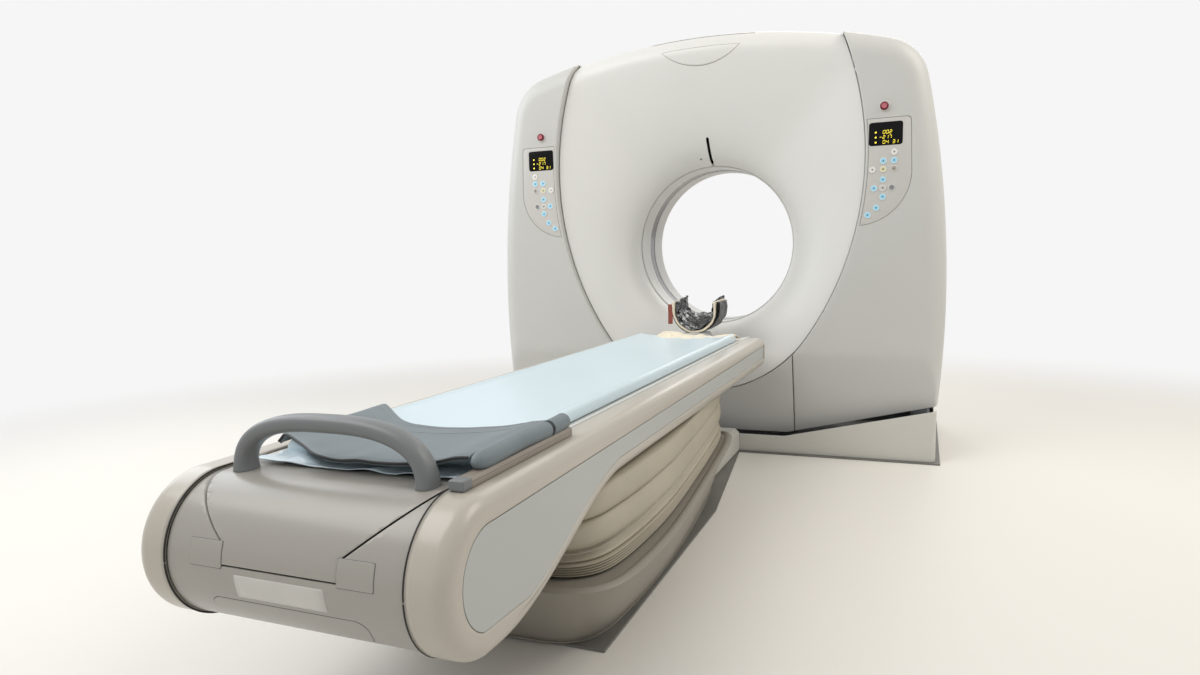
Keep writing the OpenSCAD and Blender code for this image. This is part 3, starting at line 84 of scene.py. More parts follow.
room = {
    "floorColour": (0.80, 0.78, 0.74, 1),
    "floorRough": 0.55,
    "floorSize": 14.0,
    "floorCentre": (0, -1.0, 0),
    "floorFade": (2.6, 4.6),   # from here on the camera sees the pale background in place of the floor
    "worldColour": (1.0, 0.985, 0.96, 1),
    "worldStrength": 0.62,
    "backColour": (1, 1, 1, 1),
    "backStrength": 0.92,
    "aim": (0, -0.9, 0.7),
    "lamps": [   # name, place, size, power, colour
        ("lampFront", (-1.6, -3.2, 3.6), 2.6, 62, (1.0, 0.98, 0.95)),
        ("lampRight", (2.8, -0.6, 3.2), 2.0, 46, (1.0, 0.93, 0.82)),
        ("lampLeft", (-3.4, -1.2, 2.6), 2.4, 36, (0.88, 0.95, 1.0)),
        ("lampRear", (0.4, 3.4, 3.2), 2.6, 46, (1.0, 0.97, 0.92)),
    ],
}


def addNode(tree, kind, fixed=(), **settings):   # a shader node with its settings and fixed inputs
    node = tree.nodes.new("ShaderNode" + kind)
    for label, value in settings.items():
        setattr(node, label, value)
    for label, value in dict(fixed).items():
        node.inputs[label].default_value = value
    return node


def plug(tree, *joins):   # each join: from node, its output, to node, its input
    for start, output, end, entry in joins:
        tree.links.new(start.outputs[output], end.inputs[entry])


def makeWorld(r):
    world = bpy.data.worlds.new("room")
    scene.world = world
    world.use_nodes = True
    tree = world.node_tree
    tree.nodes.clear()
    out = addNode(tree, "OutputWorld")
    mix = addNode(tree, "MixShader")
    lit = addNode(tree, "Background", {0: r["worldColour"], 1: r["worldStrength"]})
    seen = addNode(tree, "Background", {0: r["backColour"], 1: r["backStrength"]})
    path = addNode(tree, "LightPath")
    nearView = addNode(tree, "Math", operation="MAXIMUM")
    view = addNode(tree, "Math", operation="MAXIMUM")
    plug(tree, (path, "Is Camera Ray", nearView, 0), (path, "Is Glossy Ray", nearView, 1),
         (nearView, 0, view, 0), (path, "Is Transmission Ray", view, 1), (view, 0, mix, 0),
         (lit, 0, mix, 1), (seen, 0, mix, 2), (mix, 0, out, 0))


def makeLamps(r):
    for name, place, size, power, colour in r["lamps"]:
        light = bpy.data.lights.new(name, "AREA")
        light.energy, light.size, light.color = power, size, colour
        obj = bpy.data.objects.new(name, light)
        obj.location = place
        obj.rotation_euler = (Vector(r["aim"]) - Vector(place)).to_track_quat("-Z", "Y").to_euler()
        scene.collection.objects.link(obj)


def makeFloor(r):
    bm = bmesh.new()
    bmesh.ops.create_grid(bm, x_segments=1, y_segments=1, size=r["floorSize"])
    mesh = bpy.data.meshes.new("floor")
    bm.to_mesh(mesh)
    bm.free()
    floor = bpy.data.objects.new("floor", mesh)
    scene.collection.objects.link(floor)
    paint = bpy.data.materials.new("floorPaint")
    paint.use_nodes = True
    mesh.materials.append(paint)
    tree = paint.node_tree
    shader = tree.nodes["Principled BSDF"]
    shader.inputs["Base Color"].default_value = r["floorColour"]
    shader.inputs["Roughness"].default_value = r["floorRough"]
    where = addNode(tree, "TexCoord")
    away = addNode(tree, "VectorMath", operation="DISTANCE")
    away.inputs[1].default_value = r["floorCentre"]
    far = addNode(tree, "MapRange", {"From Min": r["floorFade"][0], "From Max": r["floorFade"][1]},
                  interpolation_type="SMOOTHSTEP")
    onlySeen = addNode(tree, "Math", operation="MULTIPLY")
    path = addNode(tree, "LightPath")
    bright = addNode(tree, "Emission", {"Color": r["backColour"], "Strength": r["backStrength"]})
    faded = addNode(tree, "MixShader")
    plug(tree, (where, "Object", away, 0), (away, "Value", far, "Value"), (far, "Result", onlySeen, 0),
         (path, "Is Camera Ray", onlySeen, 1), (onlySeen, 0, faded, 0), (shader, 0, faded, 1),
         (bright, 0, faded, 2), (faded, 0, tree.nodes["Material Output"], "Surface"))


makeWorld(room)
makeLamps(room)
makeFloor(room)
scene.view_settings.view_transform = "Standard"
print("camera, room and lamps are in place")


# Shader groups
def newGroup(name, inputs, outputs):
    group = bpy.data.node_groups.new(name, "ShaderNodeTree")
    for label, kind, value in inputs:
        socket = group.interface.new_socket(name=label, in_out="INPUT", socket_type=kind)
        socket.default_value = value
    for label, kind in outputs:
        group.interface.new_socket(name=label, in_out="OUTPUT", socket_type=kind)
    return group, group.nodes.new("NodeGroupInput"), group.nodes.new("NodeGroupOutput")


def makeDriftGroup():   # slow change of colour over a moulded or painted surface
    group, start, end = newGroup("colourDrift", [
        ("Colour", "NodeSocketColor", (0.8, 0.8, 0.8, 1)), ("Amount", "NodeSocketFloat", 0.05),
        ("Scale", "NodeSocketFloat", 2.0)], [("Colour", "NodeSocketColor")])
    place = addNode(group, "TexCoord")
    cloud = addNode(group, "TexNoise", {"Detail": 4})
    spread = addNode(group, "MapRange", {"From Min": 0.3, "From Max": 0.7})
    low = addNode(group, "Math", {0: 1}, operation="SUBTRACT")
    high = addNode(group, "Math", {0: 1}, operation="ADD")
    tint = addNode(group, "VectorMath", operation="SCALE")
    plug(group, (place, "Object", cloud, "Vector"), (start, "Scale", cloud, "Scale"),
         (start, "Amount", low, 1), (start, "Amount", high, 1), (cloud, 0, spread, "Value"),
         (low, 0, spread, "To Min"), (high, 0, spread, "To Max"), (start, "Colour", tint, 0),
         (spread, 0, tint, "Scale"), (tint, 0, end, 0))
    return group


def makeGrainGroup():   # fine moulded grain and slow waviness as one height
    group, start, end = newGroup("mouldGrain", [
        ("Grain", "NodeSocketFloat", 900.0), ("Wave", "NodeSocketFloat", 3.0),
        ("Wave Share", "NodeSocketFloat", 0.3)], [("Height", "NodeSocketFloat")])
    place = addNode(group, "TexCoord")
    fine = addNode(group, "TexNoise", {"Detail": 2})
    slow = addNode(group, "TexNoise")
    blend = addNode(group, "Mix")
    plug(group, (place, "Object", fine, "Vector"), (place, "Object", slow, "Vector"),
         (start, "Grain", fine, "Scale"), (start, "Wave", slow, "Scale"), (start, "Wave Share", blend, 0),
         (fine, 0, blend, 2), (slow, 0, blend, 3), (blend, 0, end, 0))
    return group


def makeSmudgeGroup():   # patches where a surface is duller or shinier
    group, start, end = newGroup("smudges", [
        ("Roughness", "NodeSocketFloat", 0.4), ("Spread", "NodeSocketFloat", 0.08),
        ("Scale", "NodeSocketFloat", 6.0)], [("Roughness", "NodeSocketFloat")])
    place = addNode(group, "TexCoord")
    cloud = addNode(group, "TexNoise", {"Detail": 6, "Roughness": 0.6})
    centre = addNode(group, "Math", {1: 0.5}, operation="SUBTRACT")
    scaled = addNode(group, "Math", operation="MULTIPLY")
    total = addNode(group, "Math", operation="ADD", use_clamp=True)
    plug(group, (place, "Object", cloud, "Vector"), (start, "Scale", cloud, "Scale"), (cloud, 0, centre, 0),
         (centre, 0, scaled, 0), (start, "Spread", scaled, 1), (scaled, 0, total, 0),
         (start, "Roughness", total, 1), (total, 0, end, 0))
    return group


driftGroup, grainGroup, smudgeGroup = makeDriftGroup(), makeGrainGroup(), makeSmudgeGroup()
surface = {"smudgeScale": 5.0, "wave": 2.5, "waveShare": 0.2, "bumpDepth": 0.0004}


def makeFinish(name, colour, rough, drift=0.03, driftScale=1.6, smudge=0.1, grain=1200.0, bump=0.15,
               metal=0.0, coat=0.0, coatRough=0.1, glow=0.0, gloss=0.5):
    finish = bpy.data.materials.new(name)
    finish.use_nodes = True
    tree = finish.node_tree
    shader = tree.nodes["Principled BSDF"]
    shader.inputs["Metallic"].default_value = metal
    shader.inputs["Coat Weight"].default_value = coat
    shader.inputs["Coat Roughness"].default_value = coatRough
    shader.inputs["Specular IOR Level"].default_value = gloss
    if glow > 0:
        shader.inputs["Emission Color"].default_value = (*colour, 1)
        shader.inputs["Emission Strength"].default_value = glow
    colours = addNode(tree, "Group", {"Colour": (*colour, 1), "Amount": drift, "Scale": driftScale},
                      node_tree=driftGroup)
    dull = addNode(tree, "Group", {"Roughness": rough, "Spread": smudge, "Scale": surface["smudgeScale"]},
                   node_tree=smudgeGroup)
    height = addNode(tree, "Group", {"Grain": grain, "Wave": surface["wave"],
                                     "Wave Share": surface["waveShare"]},
                     node_tree=grainGroup)
    relief = addNode(tree, "Bump", {"Strength": bump, "Distance": surface["bumpDepth"]})
    plug(tree, (colours, 0, shader, "Base Color"), (dull, 0, shader, "Roughness"),
         (height, 0, relief, "Height"), (relief, 0, shader, "Normal"))
    return finish


looks = {
    "shellWhite": dict(colour=(0.745, 0.745, 0.725), rough=0.36, drift=0.018, smudge=0.10),
    "towerWhite": dict(colour=(0.57, 0.572, 0.555), rough=0.40, drift=0.018, smudge=0.10),
    "plinthWhite": dict(colour=(0.58, 0.57, 0.53), rough=0.42, drift=0.04, smudge=0.14),
    "panelWhite": dict(colour=(0.57, 0.565, 0.54), rough=0.42, smudge=0.06),
    "linerGrey": dict(colour=(0.62, 0.62, 0.60), rough=0.30),
    "windowGrey": dict(colour=(0.10, 0.10, 0.105), rough=0.22, coat=0.5),
    "displayGlass": dict(colour=(0.005, 0.005, 0.006), rough=0.18, drift=0.0, bump=0.0, gloss=0.12),
    "amber": dict(colour=(0.85, 0.70, 0.05), rough=0.5, drift=0.0, bump=0.0, glow=0.8),
    "stopRed": dict(colour=(0.15, 0.006, 0.018), rough=0.35, gloss=0.3),
    "stopPink": dict(colour=(0.50, 0.15, 0.18), rough=0.35, gloss=0.3),
    "keyRim": dict(colour=(0.86, 0.86, 0.84), rough=0.32, coat=0.3),
    "keyGrey": dict(colour=(0.60, 0.59, 0.56), rough=0.40),
    "keyWhite": dict(colour=(0.80, 0.79, 0.77), rough=0.40),
    "keyBlue": dict(colour=(0.34, 0.72, 0.95), rough=0.40),
    "keyYellow": dict(colour=(0.72, 0.68, 0.42), rough=0.40),
    "keyBrown": dict(colour=(0.42, 0.38, 0.33), rough=0.40),
    "keyDark": dict(colour=(0.26, 0.27, 0.28), rough=0.40),
    "couchCream": dict(colour=(0.47, 0.438, 0.385), rough=0.30, drift=0.025, coat=0.25, coatRough=0.15),
    "inlayGrey": dict(colour=(0.44, 0.46, 0.45), rough=0.34, drift=0.02),
    # the same plastic as couchCream, painted darker as shade for the foot end pieces
    "couchTaupe": dict(colour=(0.355, 0.34, 0.312), rough=0.33, drift=0.03, coat=0.2, coatRough=0.2),
    "labelGrey": dict(colour=(0.60, 0.59, 0.56), rough=0.45, drift=0.03, driftScale=20),
    "gripGrey": dict(colour=(0.175, 0.188, 0.195), rough=0.38, drift=0.03),
    "matBlue": dict(colour=(0.61, 0.74, 0.81), rough=0.34, drift=0.02, grain=420.0, bump=0.2, coat=0.1),
    "padGrey": dict(colour=(0.165, 0.200, 0.220), rough=0.55, drift=0.06, driftScale=9, grain=900.0,
                    bump=0.4),
    "padEdge": dict(colour=(0.025, 0.026, 0.028), rough=0.6),
    "padLine": dict(colour=(0.30, 0.315, 0.32), rough=0.6),
    "filmBlue": dict(colour=(0.60, 0.72, 0.80), rough=0.25, coat=0.3),
    "holderBlack": dict(colour=(0.014, 0.014, 0.016), rough=0.32, gloss=0.35),
    "foilDark": dict(colour=(0.115, 0.12, 0.125), rough=0.20, drift=0.8, driftScale=45, smudge=0.3,
                     metal=0.75, bump=0.6),
    "railTan": dict(colour=(0.27, 0.235, 0.20), rough=0.35),
    "foamCream": dict(colour=(0.84, 0.77, 0.63), rough=0.85, drift=0.08, driftScale=30, bump=0.6),
    "strapRed": dict(colour=(0.26, 0.07, 0.05), rough=0.7, bump=0.5),
    "bellowsCream": dict(colour=(0.43, 0.39, 0.31), rough=0.52, drift=0.05, driftScale=4, bump=0.3),
    "baseTaupe": dict(colour=(0.27, 0.25, 0.215), rough=0.42, drift=0.04),
    "plateGrey": dict(colour=(0.16, 0.155, 0.145), rough=0.5, drift=0.10, driftScale=8, smudge=0.2),
    "topGrey": dict(colour=(0.74, 0.735, 0.70), rough=0.3),
    "steelPaint": dict(colour=(0.20, 0.22, 0.235), rough=0.45, drift=0.06),
    "steelBare": dict(colour=(0.52, 0.52, 0.53), rough=0.3, metal=1.0, drift=0.05),
    "copper": dict(colour=(0.60, 0.33, 0.20), rough=0.3, metal=1.0),
    "rubber": dict(colour=(0.02, 0.02, 0.02), rough=0.7),
    "unitGrey": dict(colour=(0.45, 0.46, 0.46), rough=0.45),
    # dark grey: painted shade for grooves and gaps, and the own colour of the eye, key centres and opening
    # trim
    "seamGrey": dict(colour=(0.16, 0.16, 0.155), rough=0.6),
    # black painted as the shade inside gaps and seams
    "gapBlack": dict(colour=(0.012, 0.012, 0.012), rough=0.6),
}
finishes = {name: makeFinish(name, **look) for name, look in looks.items()}
print(len(finishes), "finishes are mixed")


# Shared making steps
def putInScene(bm, name, body, finish, replaced=(), sharp=35.0):
    mesh = bpy.data.meshes.new(name)
    bm.to_mesh(mesh)
    bm.free()
    mesh.polygons.foreach_set("use_smooth", [True] * len(mesh.polygons))
    mesh.set_sharp_from_angle(angle=math.radians(sharp))
    obj = bpy.data.objects.new(name, mesh)
    scene.collection.objects.link(obj)
    for each in finish if isinstance(finish, list) else [finish]:
        mesh.materials.append(finishes[each])
    if body:
        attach(obj, body)
    if replaced:
        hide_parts(*replaced)
    return obj


def settled(obj):   # the same object with its modifiers applied
    bpy.context.view_layer.update()
    done = bpy.data.meshes.new_from_object(obj.evaluated_get(bpy.context.evaluated_depsgraph_get()))
    obj.modifiers.clear()
    old, obj.data = obj.data, done
    done.name = old.name
    bpy.data.meshes.remove(old)
    return obj


def thickened(obj, wall, even=True):
    wallStep = obj.modifiers.new("wall", "SOLIDIFY")
    wallStep.thickness = wall
    wallStep.offset = -1
    wallStep.use_even_offset = wallStep.use_quality_normals = even
    return settled(obj)


def softened(obj, width, segments=2, angle=30.0):
    soft = obj.modifiers.new("softEdge", "BEVEL")
    soft.width = width
    soft.segments = segments
    soft.limit_method = "ANGLE"
    soft.angle_limit = math.radians(angle)
    soft.harden_normals = True
    soft.miter_outer = "MITER_ARC"
    return settled(obj)


def resharpened(obj, angle):
    obj.data.set_sharp_from_angle(angle=math.radians(angle))
    return obj


def surfaceGrid(across, along, place):
    bm = bmesh.new()
    bmesh.ops.create_grid(bm, x_segments=across, y_segments=along, size=1)
    for v in bm.verts:
        i, j = round((v.co.x + 1) / 2 * across), round((v.co.y + 1) / 2 * along)
        v.co = place(i, j)
    bmesh.ops.remove_doubles(bm, verts=bm.verts, dist=2e-6)
    return bm


def closedSkin(rings, capped=True, weld=1e-6):   # a skin over closed rings of points
    n = len(rings[0])
    bm = surfaceGrid(n, len(rings) - 1, lambda i, j: rings[j][i % n])
    if capped:
        bmesh.ops.remove_doubles(bm, verts=bm.verts, dist=weld)
        bmesh.ops.holes_fill(bm, edges=[e for e in bm.edges if e.is_boundary], sides=0)
        bmesh.ops.recalc_face_normals(bm, faces=bm.faces)
    return bm


def roundingDrop(radius, share):   # how far a rounded edge lies under its face; share 0 at the rim, 1 inside
    return radius - math.sqrt(max(0.0, radius ** 2 - (radius * (1 - share)) ** 2))


sides = ((1, "Right"), (-1, "Left"))


# Housing surfaces, in metres, from the same arcs as the solids
housing = {
    "isoZ": 0.900, "halfW": 0.985, "halfD": 0.425, "crownZ": 1.790,
    "sideR": 4.5, "sideZ": 0.650, "crownR": 2.736, "cornerR": 0.200, "edgeR": 0.085,
    "midHalfD": 0.395, "midEdgeR": 0.080, "midDrop": 0.004,
    "keelZ": 0.078, "keelFlat": 0.360, "keelSlope": 0.24828,
    "leanZ": 0.430, "lean": 0.25, "seam": 0.003, "wall": 0.005,
    "rimC": (-0.629, 1.230), "rimR": 1.300, "lowC": (0.0, 0.803434), "lowR": 0.540,
    "lowerHalfW": 0.393, "boreR": 0.360, "linerHalf": 0.150, "mouthBulge": 0.12,
}
isoZ = housing["isoZ"]


def meeting(c1, r1, c2, r2, side):
    v = c2 - c1
    d = v.length
    a = (r1 * r1 - r2 * r2 + d * d) / (2 * d)
    h = math.sqrt(r1 * r1 - a * a)
    e = v / d
    return c1 + a * e + side * h * Vector((-e.y, e.x))


sideC = Vector((housing["halfW"] - housing["sideR"], housing["sideZ"]))
crownC = Vector((0, housing["crownZ"] - housing["crownR"]))
midCrownC = crownC - Vector((0, housing["midDrop"]))
rimC, lowC = Vector(housing["rimC"]), Vector(housing["lowC"])
cornerC = meeting(sideC, housing["sideR"] - housing["cornerR"], crownC,
                  housing["crownR"] - housing["cornerR"], 1)
rimTouch = rimC + housing["rimR"] * (lowC - rimC).normalized()
rimTouchA = math.atan2(rimTouch.y - isoZ, rimTouch.x)


def insetFromEdge(x, z):   # how far inside the front outline a point lies
    p = Vector((abs(x), z))
    q = p - cornerC
    u, w = cornerC - sideC, cornerC - crownC
    if u.x * q.y - u.y * q.x > 0 and q.x * w.y - q.y * w.x > 0:
        return housing["cornerR"] - q.length
    return min(housing["sideR"] - (p - sideC).length, housing["crownR"] - (p - crownC).length)


def softEdge(inset, depth, radius):
    if inset >= radius:
        return depth
    return depth - radius + math.sqrt(max(0.0, radius ** 2 - (radius - max(inset, 0.0)) ** 2))


def softMin(a, b, k):
    h = max(0.0, min(1.0, 0.5 + 0.5 * (b - a) / k))
    return b + (a - b) * h - k * h * (1 - h)


def towerDepth(x, z):
    leaning = housing["halfD"] - housing["lean"] * (housing["leanZ"] - z)
    return softMin(softEdge(insetFromEdge(x, z), housing["halfD"], housing["edgeR"]), leaning, 0.004)


def reachTo(angle, centre, radius):
    m = Vector((0, isoZ)) - centre
    b = m.x * math.cos(angle) + m.y * math.sin(angle)
    return -b + math.sqrt(b * b - m.length_squared + radius * radius)


def foldedAngle(angle):   # the same direction on the right half, from -90 to 90 degrees
    a = math.atan2(math.sin(angle), math.cos(angle))
    return a if abs(a) <= math.pi / 2 else math.copysign(math.pi - abs(a), a)


def rimReach(angle):   # from the scan centre to the edge of the funnel
    a = foldedAngle(angle)
    if a < rimTouchA:
        return reachTo(a, lowC, housing["lowR"])
    side = reachTo(a, rimC, housing["rimR"])
    return softMin(side, reachTo(a, midCrownC, housing["crownR"] - housing["midEdgeR"]),
                   0.08) if a > 0.3 else side


def coverReach(angle, crownInset=0.0):   # to the outer edge of the middle cover
    a = foldedAngle(angle)
    if a < rimTouchA:
        return reachTo(a, lowC, housing["lowR"])
    return min(reachTo(a, rimC, housing["rimR"]), reachTo(a, midCrownC, housing["crownR"] - crownInset))


def funnelDepth(x, z):
    angle, r = math.atan2(z - isoZ, x), math.hypot(x, z - isoZ)
    u = math.sqrt(max(0.0, (r - housing["boreR"]) / (rimReach(angle) - housing["boreR"])))
    rise = (1 + housing["mouthBulge"]) * u - housing["mouthBulge"] * u ** 3
    return housing["linerHalf"] + (housing["midHalfD"] - housing["linerHalf"]) * rise


def middleDepth(x, z):
    inset = insetFromEdge(x, z + housing["midDrop"])
    return softMin(funnelDepth(x, z), softEdge(inset, housing["midHalfD"], housing["midEdgeR"]), 0.007)


def seamX(z, gap):   # the seam beside the funnel and the lower panel, right half
    low = housing["lowR"] + gap
    if z < lowC.y and math.sqrt(max(0.0, low ** 2 - (z - lowC.y) ** 2)) < housing["lowerHalfW"] + gap:
        return housing["lowerHalfW"] + gap
    if z < (rimC + (housing["rimR"] + gap) * (lowC - rimC).normalized()).y:
        return math.sqrt(low ** 2 - (z - lowC.y) ** 2)
    return rimC.x + math.sqrt((housing["rimR"] + gap) ** 2 - (z - rimC.y) ** 2)


def keelHeight(x):
    return housing["keelZ"] + housing["keelSlope"] * max(0.0, abs(x) - housing["keelFlat"])


def arcPoints(centre, radius, a0, a1, n):
    return [centre + radius * Vector((math.cos(a0 + (a1 - a0) * i / n), math.sin(a0 + (a1 - a0) * i / n)))
            for i in range(n + 1)]


def evenPoints(points, n):   # the same line in n even steps
    total = [0.0]
    for a, b in zip(points, points[1:]):
        total.append(total[-1] + (b - a).length)
    result, k = [], 0
    for i in range(n + 1):
        want = total[-1] * i / n
        while k < len(points) - 2 and total[k + 1] < want:
            k += 1
        span = total[k + 1] - total[k]
        result.append(points[k].lerp(points[k + 1], (want - total[k]) / span if span else 0))
    return result


def facing(bm, direction):   # turns an open sheet so that its outside looks along the direction
    bm.normal_update()
    if sum(f.normal.dot(direction(f.calc_center_median())) * f.calc_area() for f in bm.faces) < 0:
        bmesh.ops.reverse_faces(bm, faces=bm.faces)
    return bm


def cutWith(obj, cutter, operation="DIFFERENCE"):   # takes the cutter's body out, or keeps only it
    tool = bpy.data.objects.new("cutter", bpy.data.meshes.new("cutter"))
    cutter.to_mesh(tool.data)
    cutter.free()
    scene.collection.objects.link(tool)
    cut = obj.modifiers.new("cut", "BOOLEAN")
    cut.object, cut.solver, cut.operation = tool, "EXACT", operation
    settled(obj)
    mesh = tool.data
    bpy.data.objects.remove(tool)
    bpy.data.meshes.remove(mesh)
    return obj


def prism(points, low, high, plane="xz"):   # an outline pushed along the third axis into a closed body
    bm = bmesh.new()
    put = {"xz": lambda p, t: (p[0], t, p[1]), "yz": lambda p, t: (t, p[0], p[1])}[plane]
    base = bm.faces.new([bm.verts.new(put(p, low)) for p in points])
    pushed = bmesh.ops.extrude_face_region(bm, geom=[base])
    step = Vector(put((0, 0), high)) - Vector(put((0, 0), low))
    bmesh.ops.translate(bm, verts=[v for v in pushed["geom"] if isinstance(v, bmesh.types.BMVert)], vec=step)
    bmesh.ops.recalc_face_normals(bm, faces=bm.faces)
    return bm


def joinIn(bm, other):   # adds the other body to the first
    mesh = bpy.data.meshes.new("joining")
    other.to_mesh(mesh)
    other.free()
    bm.from_mesh(mesh)
    bpy.data.meshes.remove(mesh)
    return bm


def lathe(profile, centre, axis="y", steps=64):   # closed outline of (radius, along) turned round an axis
    bm = bmesh.new()
    turn = Vector((0, 1, 0) if axis == "y" else (0, 0, 1))
    verts = [bm.verts.new(Vector(centre) + Vector((r, 0, 0)) + t * turn) for r, t in profile]
    edges = [bm.edges.new((a, b)) for a, b in zip(verts, verts[1:] + verts[:1])]
    bmesh.ops.spin(bm, geom=verts + edges, cent=centre, axis=turn, angle=2 * math.pi, steps=steps,
                   use_merge=True)
    bmesh.ops.remove_doubles(bm, verts=bm.verts, dist=1e-6)
    bmesh.ops.recalc_face_normals(bm, faces=bm.faces)
    return bm


rimShares = [0, 0.07, 0.25, 0.55, 1.0]   # steps over a rounded rim


# Towers: one sheet from the front seam round the side to the rear seam
tower = {"rows": 110, "seamRound": 0.007, "returnDepth": 0.045, "faceSteps": 12, "bandSteps": 11,
         "sideSteps": 8, "band": 1.04, "startA": -0.1}


def towerSheet(t):
    gap, halfD, edge = housing["seam"], housing["halfD"], housing["edgeR"]
    top = meeting(rimC, housing["rimR"] + gap, crownC, housing["crownR"], 1)
    footX = housing["lowerHalfW"] + gap
    seamLine = [Vector((seamX(z, gap), z)) for z in
                [keelHeight(footX) + (top.y - keelHeight(footX)) * i / 400 for i in range(401)]]
    cornerA0 = math.atan2(cornerC.y - sideC.y, cornerC.x - sideC.x)
    cornerA1 = math.atan2(cornerC.y - crownC.y, cornerC.x - crownC.x)
    startA = t["startA"]
    for _ in range(40):   # where the side meets the sloping lower edge
        p = sideC + housing["sideR"] * Vector((math.cos(startA), math.sin(startA)))
        startA += (keelHeight(p.x) - p.y) / housing["sideR"]
    outline = (arcPoints(sideC, housing["sideR"], startA, cornerA0, 120)
               + arcPoints(cornerC, housing["cornerR"], cornerA0, cornerA1, 60)[1:]
               + arcPoints(crownC, housing["crownR"], cornerA1, math.atan2(top.y - crownC.y, top.x), 60)[1:])
    seams, edges = evenPoints(seamLine, t["rows"]), evenPoints(outline, t["rows"])
    band = edge * t["band"]

    def rowPoints(s, o):
        length = (o - s).length
        scale = min(1.0, length / (band + t["seamRound"] + 1e-9))
        near, wide = t["seamRound"] * scale, band * scale
        seamDepth = towerDepth(s.x, s.y)
        deep = t["returnDepth"] * min(1.0, max(0.0, (seamDepth - (halfD - edge)) / 0.05))
        along = (o - s) / length if length > 1e-9 else Vector((0, 0))
        points = [Vector((s.x, -(seamDepth - deep * k - near), s.y)) for k in (1.0, 0.4)]   # the return wall
        for k in rimShares:
            p = s + along * near * k
            points.append(Vector((p.x, -(towerDepth(p.x, p.y) - roundingDrop(near, k)), p.y)))
        flat = length - near - wide
        for k in range(1, t["faceSteps"] + 1):
            p = s + along * (near + flat * k / t["faceSteps"])
            points.append(Vector((p.x, -towerDepth(p.x, p.y), p.y)))
        for k in range(1, t["bandSteps"] + 1):
            p = o - along * wide * (1 - math.sin(k / t["bandSteps"] * math.pi / 2))
            points.append(Vector((p.x, -towerDepth(p.x, p.y), p.y)))
        if length > 1e-6:
            points[-1] = Vector((o.x, -(halfD - edge), o.y))
        return points

    rows = [rowPoints(s, o) for s, o in zip(seams, edges)]
    fronts, sideRows = len(rows[0]), t["sideSteps"]
    across = 2 * fronts + sideRows - 2

    def place(i, j):
        row = rows[j]
        if i < fronts:
            return row[i]
        if i < fronts + sideRows - 1:
            k = (i - fronts + 1) / sideRows
            return Vector((row[-1].x, row[-1].y * (1 - 2 * k), row[-1].z))
        p = row[across - i]
        return Vector((p.x, -p.y, p.z))

    bm = surfaceGrid(across, t["rows"], place)
    return facing(bm, lambda c: Vector((c.x - 0.4, c.y * 3, 0)))


def mirrored(bm):
    bmesh.ops.scale(bm, vec=(-1, 1, 1), verts=bm.verts)
    bmesh.ops.reverse_faces(bm, faces=bm.faces)
    return bm


# Control panels: outline shared by the plate and its opening in the tower
panel = {"centre": (0.644, 1.160), "radius": 0.202, "topZ": 1.368, "inset": 0.014, "gap": 0.0011,
         "cornerX": 0.022, "cornerR": 0.016, "cutY": (-0.45, -0.4165)}


def panelOutline(grow):
    c, r = Vector(panel["centre"]), housing["rimR"] + panel["inset"] - grow
    low = math.asin((c.y - panel["radius"] + 0.003 - rimC.y) / r)
    high = math.asin((panel["topZ"] + grow - rimC.y) / r)
    left = arcPoints(rimC, r, high, low, 24)
    bow = arcPoints(c, panel["radius"] + grow, math.radians(-86), 0, 40)
    cornerAt = Vector((c.x + panel["radius"] + grow - panel["cornerX"],
                       panel["topZ"] + grow - panel["cornerR"]))
    top = arcPoints(cornerAt, panel["cornerR"], 0, math.pi / 2, 6)
    return left + bow + top


def onSide(points, side):   # the same outline on the right or, flipped, on the left
    return points if side > 0 else [Vector((-p.x, p.y)) for p in reversed(points)]


for side, label in sides:
    bm = towerSheet(tower)
    if side < 0:
        mirrored(bm)
    obj = putInScene(bm, "tower" + label, "gantry", "towerWhite", replaced=["tower_" + label.lower()],
                     sharp=40)
    thickened(obj, housing["wall"])
    cutWith(obj, prism(onSide(panelOutline(panel["gap"]), side), *panel["cutY"]))
    resharpened(obj, 38)
print("towers are shaped")


# Middle covers: polar sheets from the opening to the tower seams, rolled under the crown
middle = {"crownColumns": 72, "restColumns": 168, "funnelRows": 30, "bandRows": 12, "band": 0.095,
          "edgeRound": 0.004, "lip": 0.012, "wall": 0.004, "slotW": 0.013, "slotLow": 1.266,
          "slotTop": 1.372, "tongueHalfW": 0.225, "tongueY": 0.349, "tongueZ": 1.775, "tongueInset": 0.0091,
          "crownY": 0.313, "gap": 0.003, "crownIn": 0.010, "slotCutY": (-0.42, -0.15),
          "slotBack": (0.0075, 0.011), "slotGrow": 0.004}


